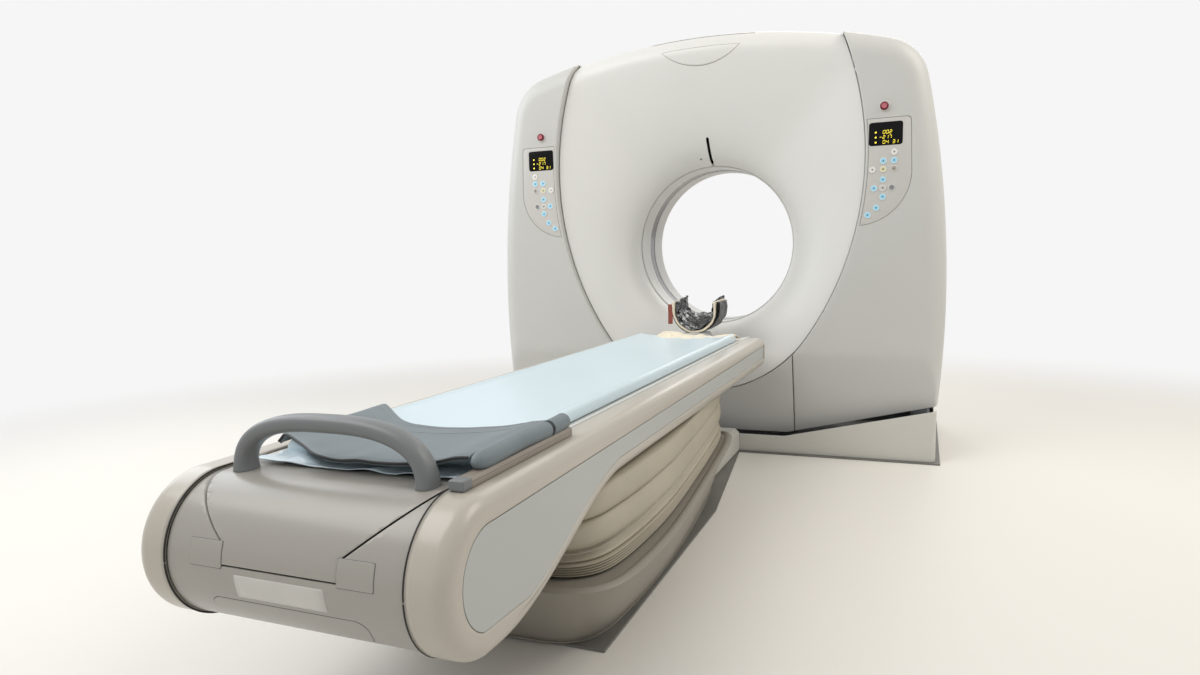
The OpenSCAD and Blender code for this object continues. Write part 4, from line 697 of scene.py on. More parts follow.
def middleSheet(m):
    corner = meeting(rimC, housing["rimR"], crownC, housing["crownR"], 1)
    cornerA = math.atan2(corner.y - housing["midDrop"] - isoZ, corner.x)
    tongueA = math.atan2(m["tongueZ"] - isoZ, m["tongueHalfW"] + m["gap"])
    third = m["crownColumns"] // 3
    angles = [(cornerA + (tongueA - cornerA) * i / third, 1) for i in range(third + 1)]
    innerA = tongueA + 0.0008
    angles += [(innerA + (math.pi - 2 * innerA) * i / third, 2) for i in range(third + 1)]
    angles += [(math.pi - tongueA + (tongueA - cornerA) * i / third, 1) for i in range(third + 1)]
    angles += [(math.pi - cornerA + (math.pi + 2 * cornerA) * i / m["restColumns"], 0)
               for i in range(1, m["restColumns"])]
    angles.append((cornerA, 1))
    columns = []
    for angle, zone in angles:   # zone 0 beside the towers, 1 under the crown cover, 2 under its tongue
        onCrown = zone > 0
        crownDrop = housing["midDrop"] if onCrown else 0
        tongueDrop = m["tongueInset"] if zone == 2 else 0
        reach = coverReach(angle) - crownDrop - tongueDrop
        flatEnd = reach - m["band"]
        radii = [housing["boreR"] + (flatEnd - housing["boreR"]) * (i / m["funnelRows"]) ** 1.7
                 for i in range(m["funnelRows"])]
        near = 0.0 if onCrown else m["edgeRound"]
        radii += [reach - near - (m["band"] - near) * (1 - math.sin(i / m["bandRows"] * math.pi / 2))
                  for i in range(m["bandRows"] + 1)]
        points = []
        for r in radii:
            x, z = r * math.cos(angle), isoZ + r * math.sin(angle)
            points.append(Vector((x, -middleDepth(x, z), z)))
        for q in rimShares[-2::-1]:
            r = reach - near * q
            x, z = r * math.cos(angle), isoZ + r * math.sin(angle)
            points.append(Vector((x, -(middleDepth(x, z) - roundingDrop(near, q)), z)))
        last = points[-1]
        if onCrown:
            inward = (reach - m["crownIn"]) / reach
            points.append(Vector((last.x * inward, last.y, isoZ + (last.z - isoZ) * inward)))
        else:
            points.append(Vector((last.x, last.y + m["lip"], last.z)))
        columns.append(points)
    bm = surfaceGrid(len(columns) - 1, len(columns[0]) - 1, lambda i, j: columns[i][j])
    bmesh.ops.remove_doubles(bm, verts=bm.verts, dist=1e-5)
    return facing(bm, lambda c: Vector((0, -1, 0)))


def backward(bm):   # turns a front cover round to the rear
    bmesh.ops.scale(bm, vec=(1, -1, 1), verts=bm.verts)
    bmesh.ops.reverse_faces(bm, faces=bm.faces)
    return bm


def capsule(x, low, top, width, steps=10):
    r = width / 2
    return (arcPoints(Vector((x, top - r)), r, 0, math.pi, steps)
            + arcPoints(Vector((x, low + r)), r, math.pi, 2 * math.pi, steps))


def boxPoints(x0, x1, z0, z1):
    return [(x0, z0), (x1, z0), (x1, z1), (x0, z1)]


bm = middleSheet(middle)
front = putInScene(bm, "frontCover", "gantry", "shellWhite", replaced=["front_cover"], sharp=50)
thickened(front, middle["wall"], even=False)
slotLow, slotTop, slotGrow = middle["slotLow"], middle["slotTop"], middle["slotGrow"]
cutWith(front, prism(capsule(0, slotLow, slotTop, middle["slotW"]), *middle["slotCutY"]))
resharpened(front, 38)

# Black channel behind the laser slot
slotFace, slotLean = -middleDepth(0, slotLow), middleDepth(0, slotTop) - middleDepth(0, slotLow)
bm = prism(capsule(0, slotLow - slotGrow, slotTop + slotGrow, middle["slotW"] + 2 * slotGrow),
           *(slotFace + back for back in middle["slotBack"]))
bmesh.ops.rotate(bm, cent=(0, slotFace + middle["slotBack"][0], slotLow), verts=bm.verts,
                 matrix=Matrix.Rotation(-math.atan2(slotLean, slotTop - slotLow), 3, "X"))
putInScene(bm, "laserWindow", "gantry", "displayGlass")

bm = backward(middleSheet({**middle, "crownColumns": 48, "restColumns": 112, "funnelRows": 20}))
rear = putInScene(bm, "rearCover", "gantry", "shellWhite", replaced=["rear_cover"], sharp=50)
thickened(rear, middle["wall"], even=False)
resharpened(rear, 38)

# Lower panels under the funnel
lower = {"gap": 0.003, "round": 0.007, "sideRound": 0.002, "flange": 0.040, "lip": 0.030, "lowLip": 0.012,
         "sideFlat": 0.004, "blend": 0.004, "wall": 0.004}


def lowerSheet(p):
    half, topR = housing["lowerHalfW"], housing["lowR"] + p["gap"]
    fade = [0.0, 0.08, 0.3, 0.6, 1.0]
    columns = [(-half, 1.0, 0.0)] + [(-half + p["sideRound"] * f, 0.0, 1 - f) for f in fade]
    columns += [(-half + p["sideFlat"] + 2 * (half - p["sideFlat"]) * k / 44, 0.0, 0.0) for k in range(45)]
    columns += [(half - p["sideRound"] * f, 0.0, 1 - f) for f in reversed(fade)] + [(half, 1.0, 0.0)]
    rows = [(0.0, 1.0, 0.0)] + [(k / 14, 0.0, 0.0) for k in range(14)]
    rows += [("top", 0.0, f) for f in reversed(fade)] + [("top", 1.0, 0.0)]

    def place(i, j):
        x, flange, sideFade = columns[i]
        t, lip, topFade = rows[j]
        zLow, zTop = keelHeight(x), lowC.y - math.sqrt(topR ** 2 - x * x)
        bandEnd = zTop - p["round"]
        if t == "top":
            z, sink = zTop - p["round"] * topFade, roundingDrop(p["round"], topFade)
        else:
            z, sink = zLow + (bandEnd - zLow) * t, 0.0
        sink += roundingDrop(p["sideRound"], 1 - sideFade)
        sink += (p["sideRound"] if flange else 0) + p["flange"] * flange
        if lip:
            sink = max(sink, p["lip"] if t == "top" else p["lowLip"])
        depth = softMin(housing["halfD"], housing["halfD"] - housing["lean"] * (housing["leanZ"] - z),
                        p["blend"])
        return Vector((x, -(depth - sink), z))

    bm = surfaceGrid(len(columns) - 1, len(rows) - 1, place)
    return facing(bm, lambda c: Vector((0, -1, 0)))


bm = lowerSheet(lower)
obj = putInScene(bm, "lowerFrontCover", "gantry", "towerWhite", ["lower_front_cover"], 50)
thickened(obj, lower["wall"])
obj = putInScene(backward(lowerSheet(lower)), "lowerRearCover", "gantry", "towerWhite", sharp=50)
thickened(obj, lower["wall"])

# Crown cover with a tongue to each face
crown = {"wall": 0.004, "soft": 0.0015, "across": 60, "cutX": 0.8, "cutY": 0.45, "cutZ": (1.4, 1.95)}


def crownSheet(tongue):
    depths = [tongue * math.sin(k / 24 * math.pi / 2) for k in range(25)]
    ys = [-d for d in reversed(depths)] + depths[1:]

    def crownPoint(x, y):   # on the rolled edge the height follows the arc of the roll
        over = max(0.0, abs(y) - (housing["midHalfD"] - housing["midEdgeR"]))
        drop = housing["midEdgeR"] - math.sqrt(max(0.0, housing["midEdgeR"] ** 2 - over ** 2))
        s, r = x / housing["crownR"], housing["crownR"] - drop
        return Vector((r * math.sin(s), y, midCrownC.y + r * math.cos(s)))

    def halfWidth(y):
        x = 0.5
        for _ in range(12):
            p = crownPoint(x, y)
            x += rimC.x + math.sqrt(housing["rimR"] ** 2 - (p.z - rimC.y) ** 2) - p.x
        return x

    across = crown["across"]

    def place(i, j):
        return crownPoint(halfWidth(ys[j]) * (2 * i / across - 1), ys[j])

    return facing(surfaceGrid(across, len(ys) - 1, place), lambda p: Vector((0, 0, 1)))


obj = putInScene(crownSheet(middle["tongueY"]), "crownCover", "gantry", "shellWhite", ["top_cover"], 50)
thickened(obj, crown["wall"])
cutter = bmesh.new()
for x0, x1 in ((middle["tongueHalfW"], crown["cutX"]), (-crown["cutX"], -middle["tongueHalfW"])):
    for y0, y1 in ((-crown["cutY"], -middle["crownY"]), (middle["crownY"], crown["cutY"])):
        joinIn(cutter, prism(boxPoints(x0, x1, *crown["cutZ"]), y0, y1))
resharpened(cutWith(obj, cutter), 38)
softened(obj, crown["soft"], 2, 50)

# Bare half-moon plate at the top of the front cover; the thin groove round it is a dark sheet of painted
# groove shade
moon = {"halfW": 0.168, "topZ": 1.722, "lowZ": 1.655, "bow": 0.006, "line": 0.0013, "groove": 0.0001,
        "proud": 0.0006, "wall": 0.001}


def moonSheet(grow, proud, across=36, along=10):
    half, sag = moon["halfW"], moon["topZ"] - moon["lowZ"]
    r = (half * half + sag * sag) / (2 * sag)
    centreZ, topZ = moon["lowZ"] + r, moon["topZ"] + grow

    def place(i, j):
        wide = math.sqrt((r + grow) ** 2 - (centreZ - topZ) ** 2)
        x = -wide + 2 * wide * i / across
        zLow = centreZ - math.sqrt(max(0.0, (r + grow) ** 2 - x * x))
        bow = moon["bow"] * (1 - (x / half) ** 2)
        z = zLow + (topZ + bow - zLow) * j / along
        return Vector((x, -(middleDepth(x, z) + proud), z))

    bm = surfaceGrid(across, along, place)
    return facing(bm, lambda c: Vector((0, -1, 0)))


for name, finish, grow, proud in (("moonGrooveShade", "seamGrey", moon["line"], moon["groove"]),
                                  ("moonPlate", "shellWhite", 0.0, moon["proud"])):
    thickened(putInScene(moonSheet(grow, proud), name, "gantry", finish), moon["wall"])

# Liner rings and ray window of the opening
ring = {"r": 0.3597, "inner": 0.354, "window": 0.034, "end": 0.1497, "windowInner": 0.356, "gap": 0.0005,
        "lead": 0.0012, "steps": 240,
        "trim": [(0.3597, -0.1515), (0.3622, -0.1535), (0.3650, -0.1535), (0.3650, -0.1490),
                 (0.3597, -0.1490)]}


def boreRing(profile, name, finish, replaced=()):
    putInScene(lathe(profile, (0, 0, isoZ), steps=ring["steps"]), name, "gantry", finish, replaced, 30)


linerR, linerIn, lead = ring["r"], ring["inner"], ring["lead"]
windowEnd = ring["window"] + ring["gap"]
for name, y0, y1, replaced in (("linerFront", -ring["end"], -windowEnd, ["bore_liner"]),
                               ("linerRear", windowEnd, ring["end"], ())):
    boreRing([(linerIn, y0 + lead), (linerIn + lead, y0), (linerR, y0), (linerR, y1), (linerIn + lead, y1),
              (linerIn, y1 - lead)], name, "linerGrey", replaced)
boreRing(boxPoints(ring["windowInner"], linerR, -ring["window"], ring["window"]), "rayWindow", "windowGrey",
         ["scan_window"])
boreRing(ring["trim"], "openingTrim", "seamGrey")
print("middle, crown and liner covers are shaped")


# Couch covers
couch = {
    "halfW": 0.303, "innerX": 0.233, "edge": 0.028, "wall": 0.005, "deckZ": 0.516, "beamLow": 0.397,
    "nearY": -0.540, "cornerR": 0.030, "bulb": (-2.783, 0.387), "bulbR": 0.129, "sweepY": 2.210,
    "sweepLen": 0.540, "inlayNear": 0.566, "inlayR": 0.014, "inlayBulbR": 0.083, "inlayDeep": 0.003,
    "inlayRise": 0.0355, "inlayLowZ": 0.450, "inlayTopZ": 0.468, "inlayBulb": (84, 248), "inlaySweep": 0.090,
    "shoulder": 0.0060, "shoulderDrop": 0.0052, "floorBack": 0.001, "floorGrow": 0.0003, "lastA": 262,
}
bulbC = Vector(couch["bulb"])


def sweptTube(path, radius, round=12):   # a tube of changing radius along a line of points
    rings = []
    for k, p in enumerate(path):
        run = (path[min(k + 1, len(path) - 1)] - path[max(k - 1, 0)]).normalized()
        side = run.cross(Vector((0, 0, 1))).normalized()
        up = side.cross(run)
        r = radius(k) if callable(radius) else radius
        turns = [2 * math.pi * q / round for q in range(round)]
        rings.append([p + r * (math.cos(a) * side + math.sin(a) * up) for a in turns])
    return closedSkin(rings)


def clamped(t):
    return max(0.0, min(1.0, t))


def easeInOut(t):
    u = clamped(t)
    return u * u * (3 - 2 * u)


def waves(x, y, layers):   # soft random height; layer: scale along x and y, seed, height
    return sum(high * noise.noise(Vector((x * sx, y * sy, seed))) for sx, sy, seed, high in layers)


def undersideZ(y):
    drop = couch["beamLow"] - bulbC.y + couch["bulbR"]
    return couch["beamLow"] - drop * easeInOut((-y - couch["sweepY"]) / couch["sweepLen"])


def sideOutline(inset):   # from under the gantry end over the top and round the foot end, as (y, z)
    c, r = couch, couch["cornerR"] - inset
    y = c["nearY"] - c["cornerR"]
    points = arcPoints(Vector((y, c["beamLow"] + c["cornerR"])), r, -math.pi / 2, 0, 8)
    points += arcPoints(Vector((y, c["deckZ"] - c["cornerR"])), r, 0, math.pi / 2, 8)
    points += arcPoints(bulbC, c["bulbR"] - inset, math.pi / 2, math.radians(c["lastA"]), 60)
    for i in range(45):
        y = -(c["sweepY"] + c["sweepLen"] * (1 - i / 44))
        points.append(Vector((y, undersideZ(y) + inset)))
    return points


def inlayOutline(grow):
    c, r = couch, couch["inlayR"] + grow
    points = arcPoints(Vector((-c["inlayNear"], c["inlayLowZ"])), r, -math.pi / 2, 0, 8)
    points += arcPoints(Vector((-c["inlayNear"], c["inlayTopZ"])), r, 0, math.pi / 2, 8)
    points += arcPoints(bulbC, c["inlayBulbR"] + grow, *(math.radians(a) for a in c["inlayBulb"]), 60)
    for i in range(45):
        y = -(c["sweepY"] + (c["sweepLen"] - c["inlaySweep"]) * (1 - i / 44))
        points.append(Vector((y, undersideZ(y) + c["inlayRise"] - grow)))
    return points


def sideCoverSheet():
    c = couch
    rings = [(c["innerX"] + (c["halfW"] - c["edge"] - c["innerX"]) * k / 4, sideOutline(0.0))
             for k in range(5)]
    for k in range(1, 10):
        a = math.pi / 2 * k / 9
        rings.append((c["halfW"] - c["edge"] * (1 - math.sin(a)),
                      sideOutline(c["edge"] * (1 - math.cos(a)))))
    rings.append((c["halfW"], inlayOutline(c["shoulder"])))
    for k in range(1, 7):   # soft shoulder down into the inlay's recess
        a = math.pi / 2 * k / 6
        rings.append((c["halfW"] - c["inlayDeep"] * (1 - math.cos(a)),
                      inlayOutline(c["shoulder"] - c["shoulderDrop"] * math.sin(a))))
    rings.append((c["halfW"] - c["inlayDeep"] - c["floorBack"], inlayOutline(c["floorGrow"])))
    n = len(rings[0][1])
    bm = surfaceGrid(n, len(rings) - 1, lambda i, j: Vector((rings[j][0], *rings[j][1][i % n])))
    edges = [e for e in bm.edges if e.is_boundary and all(abs(v.co.x - rings[-1][0]) < 1e-7
                                                          for v in e.verts)]
    bmesh.ops.holes_fill(bm, edges=edges, sides=0)
    return facing(bm, lambda p: Vector((1, 0, 0)))


inlay = {"thick": 0.0015, "backX": 0.3003, "soft": 0.0007}
for side, label in sides:
    cover = sideCoverSheet()
    plate = prism(inlayOutline(0.0), inlay["backX"], inlay["backX"] + inlay["thick"], "yz")
    if side < 0:
        mirrored(cover)
        mirrored(plate)
    obj = putInScene(cover, "sideCover" + label, "couch", "couchCream", ["side_cover_" + label.lower()], 50)
    thickened(obj, couch["wall"], even=False)
    obj = putInScene(plate, "inlay" + label, "couch", "inlayGrey", ["side_inlays"] if side > 0 else (), 40)
    softened(obj, inlay["soft"], 2, 40)

# Foot end: one curved wall, cut into the lower cover and the hatch
footEnd = {"halfW": 0.2325, "r": 0.125, "wall": 0.004, "topZ": 0.512, "backY": -2.700, "topY": -2.742,
           "lowBackY": -2.603, "lowRise": 0.004, "hatch": [(0.118, 0.398), (0.118, 0.433), (0.224, 0.512)],
           "hatchTopZ": 0.6, "hatchY": (-3.2, -2.55), "seam": 0.0015, "edgeR": 0.004, "flatIn": 0.008,
           "soft": 0.0009, "lining": (0.2318, -0.0065, 0.0015), "seamLine": (0.2326, 0.0036, 0.0016)}


def endLine(grow):
    f, lastA = footEnd, math.radians(couch["lastA"])
    points = [Vector((f["backY"], f["topZ"] + grow)), Vector((f["topY"], f["topZ"] + grow))]
    points += arcPoints(bulbC, f["r"] + grow, math.pi / 2, lastA, 72)
    for i in range(1, 17):
        y = min(bulbC.x + f["r"] * math.cos(lastA) + (f["lowBackY"] - bulbC.x) * i / 16, f["lowBackY"])
        points.append(Vector((y, undersideZ(y) + f["lowRise"] - grow)))
    return points


def outOfBulb(p):   # outward direction at the round end
    return Vector((0, p.y - bulbC.x, p.z - bulbC.y))


def outOfEnd(p):   # the same, seen from a little nearer the gantry
    return Vector((0, p.y - bulbC.x - 0.02, p.z - bulbC.y))


def endWall():
    f = footEnd
    fade = [0.0, 0.1, 0.35, 0.7, 1.0]
    xs = [(-f["halfW"] + f["edgeR"] * q, roundingDrop(f["edgeR"], q)) for q in fade]
    xs += [(-f["halfW"] + f["flatIn"] + 2 * (f["halfW"] - f["flatIn"]) * k / 30, 0.0) for k in range(31)]
    xs += [(-x, sink) for x, sink in reversed(xs[:5])]
    lines = {sink: endLine(-sink) for _, sink in xs}

    def place(i, j):
        x, sink = xs[i]
        return Vector((x, *lines[sink][j]))

    return facing(surfaceGrid(len(xs) - 1, len(endLine(0)) - 1, place), outOfEnd)


def hatchOutline(grow):
    (x0, z0), (x1, z1), (x2, z2) = footEnd["hatch"]
    lift = grow * 0.6
    right = [(x0 + grow, z0 - grow)]
    right += [(x1 + (x2 - x1) * k / 10 + grow, z1 + (z2 - z1) * k / 10 - lift) for k in range(11)]
    right.append((x2 + grow, footEnd["hatchTopZ"]))
    return [(-x, z) for x, z in reversed(right)] + right


# the foot end covers use the darker copy of the couch plastic, which is painted shade
for name, node, grow, operation in (("endCover", "end_cover", footEnd["seam"], "DIFFERENCE"),
                                    ("endHatch", "end_hatch", -footEnd["seam"], "INTERSECT")):
    obj = thickened(putInScene(endWall(), name, "couch", "couchTaupe", [node], 45), footEnd["wall"])
    cutWith(obj, prism(hatchOutline(grow), *footEnd["hatchY"]), operation)
    resharpened(softened(obj, footEnd["soft"], 2, 50), 45)

# Black strip behind the hatch seam, so that no light falls through it; its black is painted shade for the
# inside seen through the seam
halfW, grow, wall = footEnd["lining"]
line = endLine(grow)
bm = surfaceGrid(2, len(line) - 1, lambda i, j: Vector(((-halfW, 0, halfW)[i], *line[j])))
thickened(putInScene(facing(bm, outOfEnd), "endLiningShade", "couch", "gapBlack"), wall)

# Dark tube painted as the shade in the seam between the foot end and each side cover
for side, label in sides:
    x, grow, radius = footEnd["seamLine"]
    path = [Vector((x * side, p.x, p.y)) for p in endLine(grow)]
    putInScene(sweptTube(path, radius, 8), "endSeamShade" + label, "couch", "gapBlack", sharp=80)

# Latch covers, label field, lower recess and screw caps of the foot end
endParts = {"latchX": 0.146, "latchHalf": 0.033, "latchLow": 0.393, "latchTop": 0.434, "latchCorner": 0.003,
            "labelHalfW": 0.088, "labelLow": 198.5, "labelTop": 180.5, "labelCorner": 0.002,
            "labelR": 0.1253, "labelWall": 0.0004, "fieldTop": 202.5, "fieldLow": 233.5,
            "fieldTopHalf": 0.158, "fieldLowHalf": 0.140,
            "fieldCorner": 0.022, "plugX": (-0.120, 0.060), "plugY": -2.7105,
            "plug": [(0.0, 0.0), (0.0068, 0.0), (0.0068, 0.0012), (0.0050, 0.0024), (0.0, 0.0028)]}


def bulbPatch(x0, x1, a0, a1, r, corner, across=10, along=12):   # a patch that hugs the round end
    def place(i, j):
        u, v = 2 * i / across - 1, 2 * j / along - 1
        a = math.radians((a0 + a1) / 2 + (a1 - a0) / 2 * v)
        return Vector(((x0 + x1) / 2 + (x1 - x0) / 2 * u, bulbC.x + r * math.cos(a),
                       bulbC.y + r * math.sin(a)))

    bm = surfaceGrid(across, along, place)
    corners = [v for v in bm.verts if len(v.link_edges) == 2]
    bmesh.ops.bevel(bm, geom=corners, offset=corner, segments=5, profile=0.5, affect="VERTICES", material=-1)
    return facing(bm, outOfBulb)


def angleAt(z):
    return 180 - math.degrees(math.asin((z - bulbC.y) / footEnd["r"]))


e = endParts
for side, label in sides:
    x = e["latchX"] * side
    # the dark groove sheet round each latch is painted shade in the groove
    for part, finish, grow, proud, wall, soft in (("Groove", "seamGrey", 0.0011, 0.00015, 0.0006, 0),
                                                  ("", "couchTaupe", 0, 0.0012, 0.0016, 0.0005)):
        half, turn = e["latchHalf"] + grow, math.degrees(grow / footEnd["r"])
        bm = bulbPatch(x - half, x + half, angleAt(e["latchTop"]) - turn, angleAt(e["latchLow"]) + turn,
                       footEnd["r"] + proud, e["latchCorner"])
        obj = thickened(putInScene(bm, "latch" + label + part, "couch", finish), wall)
        if soft:
            softened(obj, soft, 2, 50)
bm = bulbPatch(-e["labelHalfW"], e["labelHalfW"], e["labelTop"], e["labelLow"], e["labelR"],
               e["labelCorner"])
thickened(putInScene(bm, "blankField", "couch", "labelGrey"), e["labelWall"])


def lowerField(grow, r, across=48, along=16):
    turn = math.degrees(grow / footEnd["r"])

    def place(i, j):
        v = j / along
        a = math.radians(e["fieldTop"] - turn + (e["fieldLow"] - e["fieldTop"] + 2 * turn) * v)
        half = e["fieldTopHalf"] + (e["fieldLowHalf"] - e["fieldTopHalf"]) * v + grow
        half -= e["fieldCorner"] * abs(2 * v - 1) ** 4
        return Vector((half * (2 * i / across - 1), bulbC.x + r * math.cos(a), bulbC.y + r * math.sin(a)))

    return facing(surfaceGrid(across, along, place), outOfBulb)


# the dark groove sheet round the lower field is painted shade in the groove
thickened(putInScene(lowerField(0.0014, 0.12512), "lowerFieldGrooveShade", "couch", "seamGrey"), 0.0005)
obj = thickened(putInScene(lowerField(0, 0.1255), "lowerField", "couch", "couchTaupe"), 0.0009)
softened(obj, 0.0003, 2, 50)
# the screw caps also use the darker copy of the couch plastic, which is painted shade
for k, x in enumerate(e["plugX"]):
    bm = lathe(e["plug"], (x, e["plugY"], footEnd["topZ"]), "z", 24)
    putInScene(bm, f"topPlug{k + 1}", "couch", "couchTaupe")

# Carrying grip: an arch of rounded section
grip = {"y": -2.772, "halfSpan": 0.187, "base": 0.5125, "rise": 0.090, "width": 0.042, "height": 0.030,
        "flare": 0.006, "flareZ": 0.012, "square": 0.8, "step": 0.05}


def gripAt(t):
    c, s = math.cos(t), math.sin(t)
    return Vector((grip["halfSpan"] * math.copysign(abs(c) ** 0.72, c), grip["rise"] * max(0.0, s) ** 0.8))


def squared(value):   # fuller than a plain sine, for a rounded box section
    return math.copysign(abs(value) ** grip["square"], value)


def gripSweep(steps=72, round=28):
    rings = []
    for j in range(steps + 1):
        t = math.pi * j / steps
        p = gripAt(t)
        run = (gripAt(min(math.pi, t + grip["step"])) - gripAt(max(0.0, t - grip["step"]))).normalized()
        out = Vector((run.y, -run.x)) if j not in (0, steps) else Vector((math.copysign(1, p.x), 0))
        foot = grip["flare"] * math.exp(-p.y / grip["flareZ"]) * 0.4
        ring = []
        for k in range(round):
            q = 2 * math.pi * k / round
            side = squared(math.cos(q)) * (grip["width"] / 2 + foot)
            lift = squared(math.sin(q)) * (grip["height"] / 2 + foot)
            ring.append(Vector((p.x + out.x * lift, grip["y"] + side,
                                grip["base"] + max(0.0, p.y + out.y * lift))))
        rings.append(ring)
    return closedSkin(rings, weld=1e-5)


putInScene(gripSweep(), "archGrip", "couch", "gripGrey", replaced=["grip"], sharp=60)
print("couch covers and grip are shaped")


# Control panels with their keys, displays and stop buttons
control = {
    "frontY": -0.4247, "thick": 0.0045, "soft": 0.0012,
    "keyC": (0.741, 1.101), "pitch": 0.040, "keyR": 0.013, "proud": 0.0025, "rim": 0.0022,
    "displayC": (0.748, 1.308), "displayW": 0.124, "displayH": 0.088, "displayR": 0.010, "displayY": -0.4239,
    "stopX": 0.741, "stopZ": 1.412, "stopR": 0.016, "collarR": 0.022,
    "keyFace": -0.425, "keyBack": -0.4236, "keyGap": 0.0006, "keyDish": 0.0005, "keyCutY": -0.4313,
    "keyCut": 0.02, "displayCutY": (-0.43, -0.4185), "displayThick": 0.0030, "displaySoft": 0.0008,
    "seam": (0.0006, 0.0010), "litProud": 0.00035, "litThick": 0.0003, "rowStep": 0.0190, "dotR": 0.0036,
    "dotAt": (-0.0370, 0.0066), "digit": (0.0082, 0.0122, 0.0019), "digitLow": 0.0005, "digitPitch": 1.45,
    "digitLean": 0.12,
    "rows": [("002", -0.0060), ("-217", -0.0188), ("04 31", -0.0060)],   # text, left end
}
keyRows = {   # name: column, height over the middle, cap finish
    "lamp": (1, 0.136, "keyWhite"), "mark_in": (0, 0.104, "keyBlue"), "mark_out": (1, 0.104, "keyBlue"),
    "home": (-1, 0.072, "keyWhite"), "scan_up": (0, 0.072, "keyYellow"), "clear": (1, 0.072, "keyBrown"),
    "up": (0, 0.032, "keyBlue"), "left": (-0.83, 0, "keyBlue"), "centre": (0, 0, "keyGrey"),
    "right": (0.83, 0, "keyDark"), "down": (0, -0.034, "keyBlue"), "tilt": (-0.58, -0.076, "keyBlue"),
    "free": (-1.37, -0.103, "keyBlue"),
}


def flatPlate(points, front, thick, soft, segments=3):   # an outline as a plate with a rounded front rim
    bm = prism(points, front, front + thick)
    rim = [e for e in bm.edges if all(abs(v.co.y - front) < 1e-7 for v in e.verts)]
    bmesh.ops.bevel(bm, geom=rim, offset=soft, segments=segments, profile=0.5, affect="EDGES", material=-1)
    return bm


def roundedBox(centre, wide, high, radius, steps=6):
    (x, z), w, h = centre, wide / 2 - radius, high / 2 - radius
    points = []
    for k, (sx, sz) in enumerate(((1, -1), (1, 1), (-1, 1), (-1, -1))):
        a = math.radians(-90 + 90 * k)
        points += arcPoints(Vector((x + sx * w, z + sz * h)), radius, a, a + math.pi / 2, steps)
    return points


digitSegments = {   # lit bars: top, upper left, upper right, middle, lower left, lower right, bottom
    "0": "1110111", "1": "0010010", "2": "1011101", "3": "1011011", "4": "0111010", "7": "1010010",
    "-": "0001000",
}


def digitBars(bm, text, left, low, y):
    wide, high, bar = control["digit"]
    for k, sign in enumerate(text):
        x, m, h = left + k * wide * control["digitPitch"], low + high / 2, high / 2
        west, east, up, down = x - wide / 2, x + wide / 2, m + h / 2, m - h / 2
        places = [(x, low + high, wide, bar), (west, up, bar, h), (east, up, bar, h), (x, m, wide, bar),
                  (west, down, bar, h), (east, down, bar, h), (x, low, wide, bar)]
        for on, (cx, cz, w, d) in zip(digitSegments.get(sign, ""), places):
            if on == "1":
                made = bmesh.ops.create_cube(bm, size=1)
                size = (max(w - bar, bar), control["litThick"], max(d - bar, bar))
                bmesh.ops.scale(bm, vec=size, verts=made["verts"])
                lean = (cz - m) * control["digitLean"]
                bmesh.ops.translate(bm, vec=(cx + lean, y, cz), verts=made["verts"])


def roundPeg(bm, x, y, z, radius, length, segments):   # a short cylinder along y
    made = bmesh.ops.create_cone(bm, cap_ends=True, segments=segments, radius1=radius, radius2=radius,
                                 depth=length)
    bmesh.ops.rotate(bm, cent=(0, 0, 0), matrix=Matrix.Rotation(math.pi / 2, 3, "X"), verts=made["verts"])
    bmesh.ops.translate(bm, vec=(x, y, z), verts=made["verts"])


def displayLights(side):
    c = control
    bm = bmesh.new()
    x, z, y = c["displayC"][0] * side, c["displayC"][1], c["displayY"] - c["litProud"]
    for row, (line, left) in enumerate(c["rows"]):
        digitBars(bm, line, x + left, z + c["digitLow"] - row * c["rowStep"], y)
    for row in range(len(c["rows"])):   # a small mark to the left of each value
        roundPeg(bm, x + c["dotAt"][0], y, z + c["dotAt"][1] - row * c["rowStep"], c["dotR"],
                 c["litThick"], 16)
    return bm


def keyCap(x, z):
    r, dish = control["keyR"], control["keyDish"]
    top, inner, back = control["keyFace"] - control["proud"], r - control["rim"], control["keyBack"]
    profile = [(0.0, top + dish), (r * 0.15, top + dish), (r * 0.26, top + dish),
               (r * 0.55, top + dish * 0.7), (inner - 0.0006, top + dish * 0.3), (inner, top + 0.0002),
               (r - 0.0013, top), (r - 0.0004, top + 0.0003),
               (r, top + 0.0012), (r, back), (0.0, back)]
    return lathe(profile, (x, 0, z), steps=40)


def keyFinish(obj, x, z):   # light collar at the rim, then the cap's finish, a dark point in the middle
    inner = control["keyR"] - control["rim"] - 0.0003
    for face in obj.data.polygons:
        p = face.center
        off = math.hypot(p.x - x, p.z - z)
        if off < inner and p.y < control["keyFace"]:
            face.material_index = 2 if off < control["keyR"] * 0.22 else 0
        else:
            face.material_index = 1


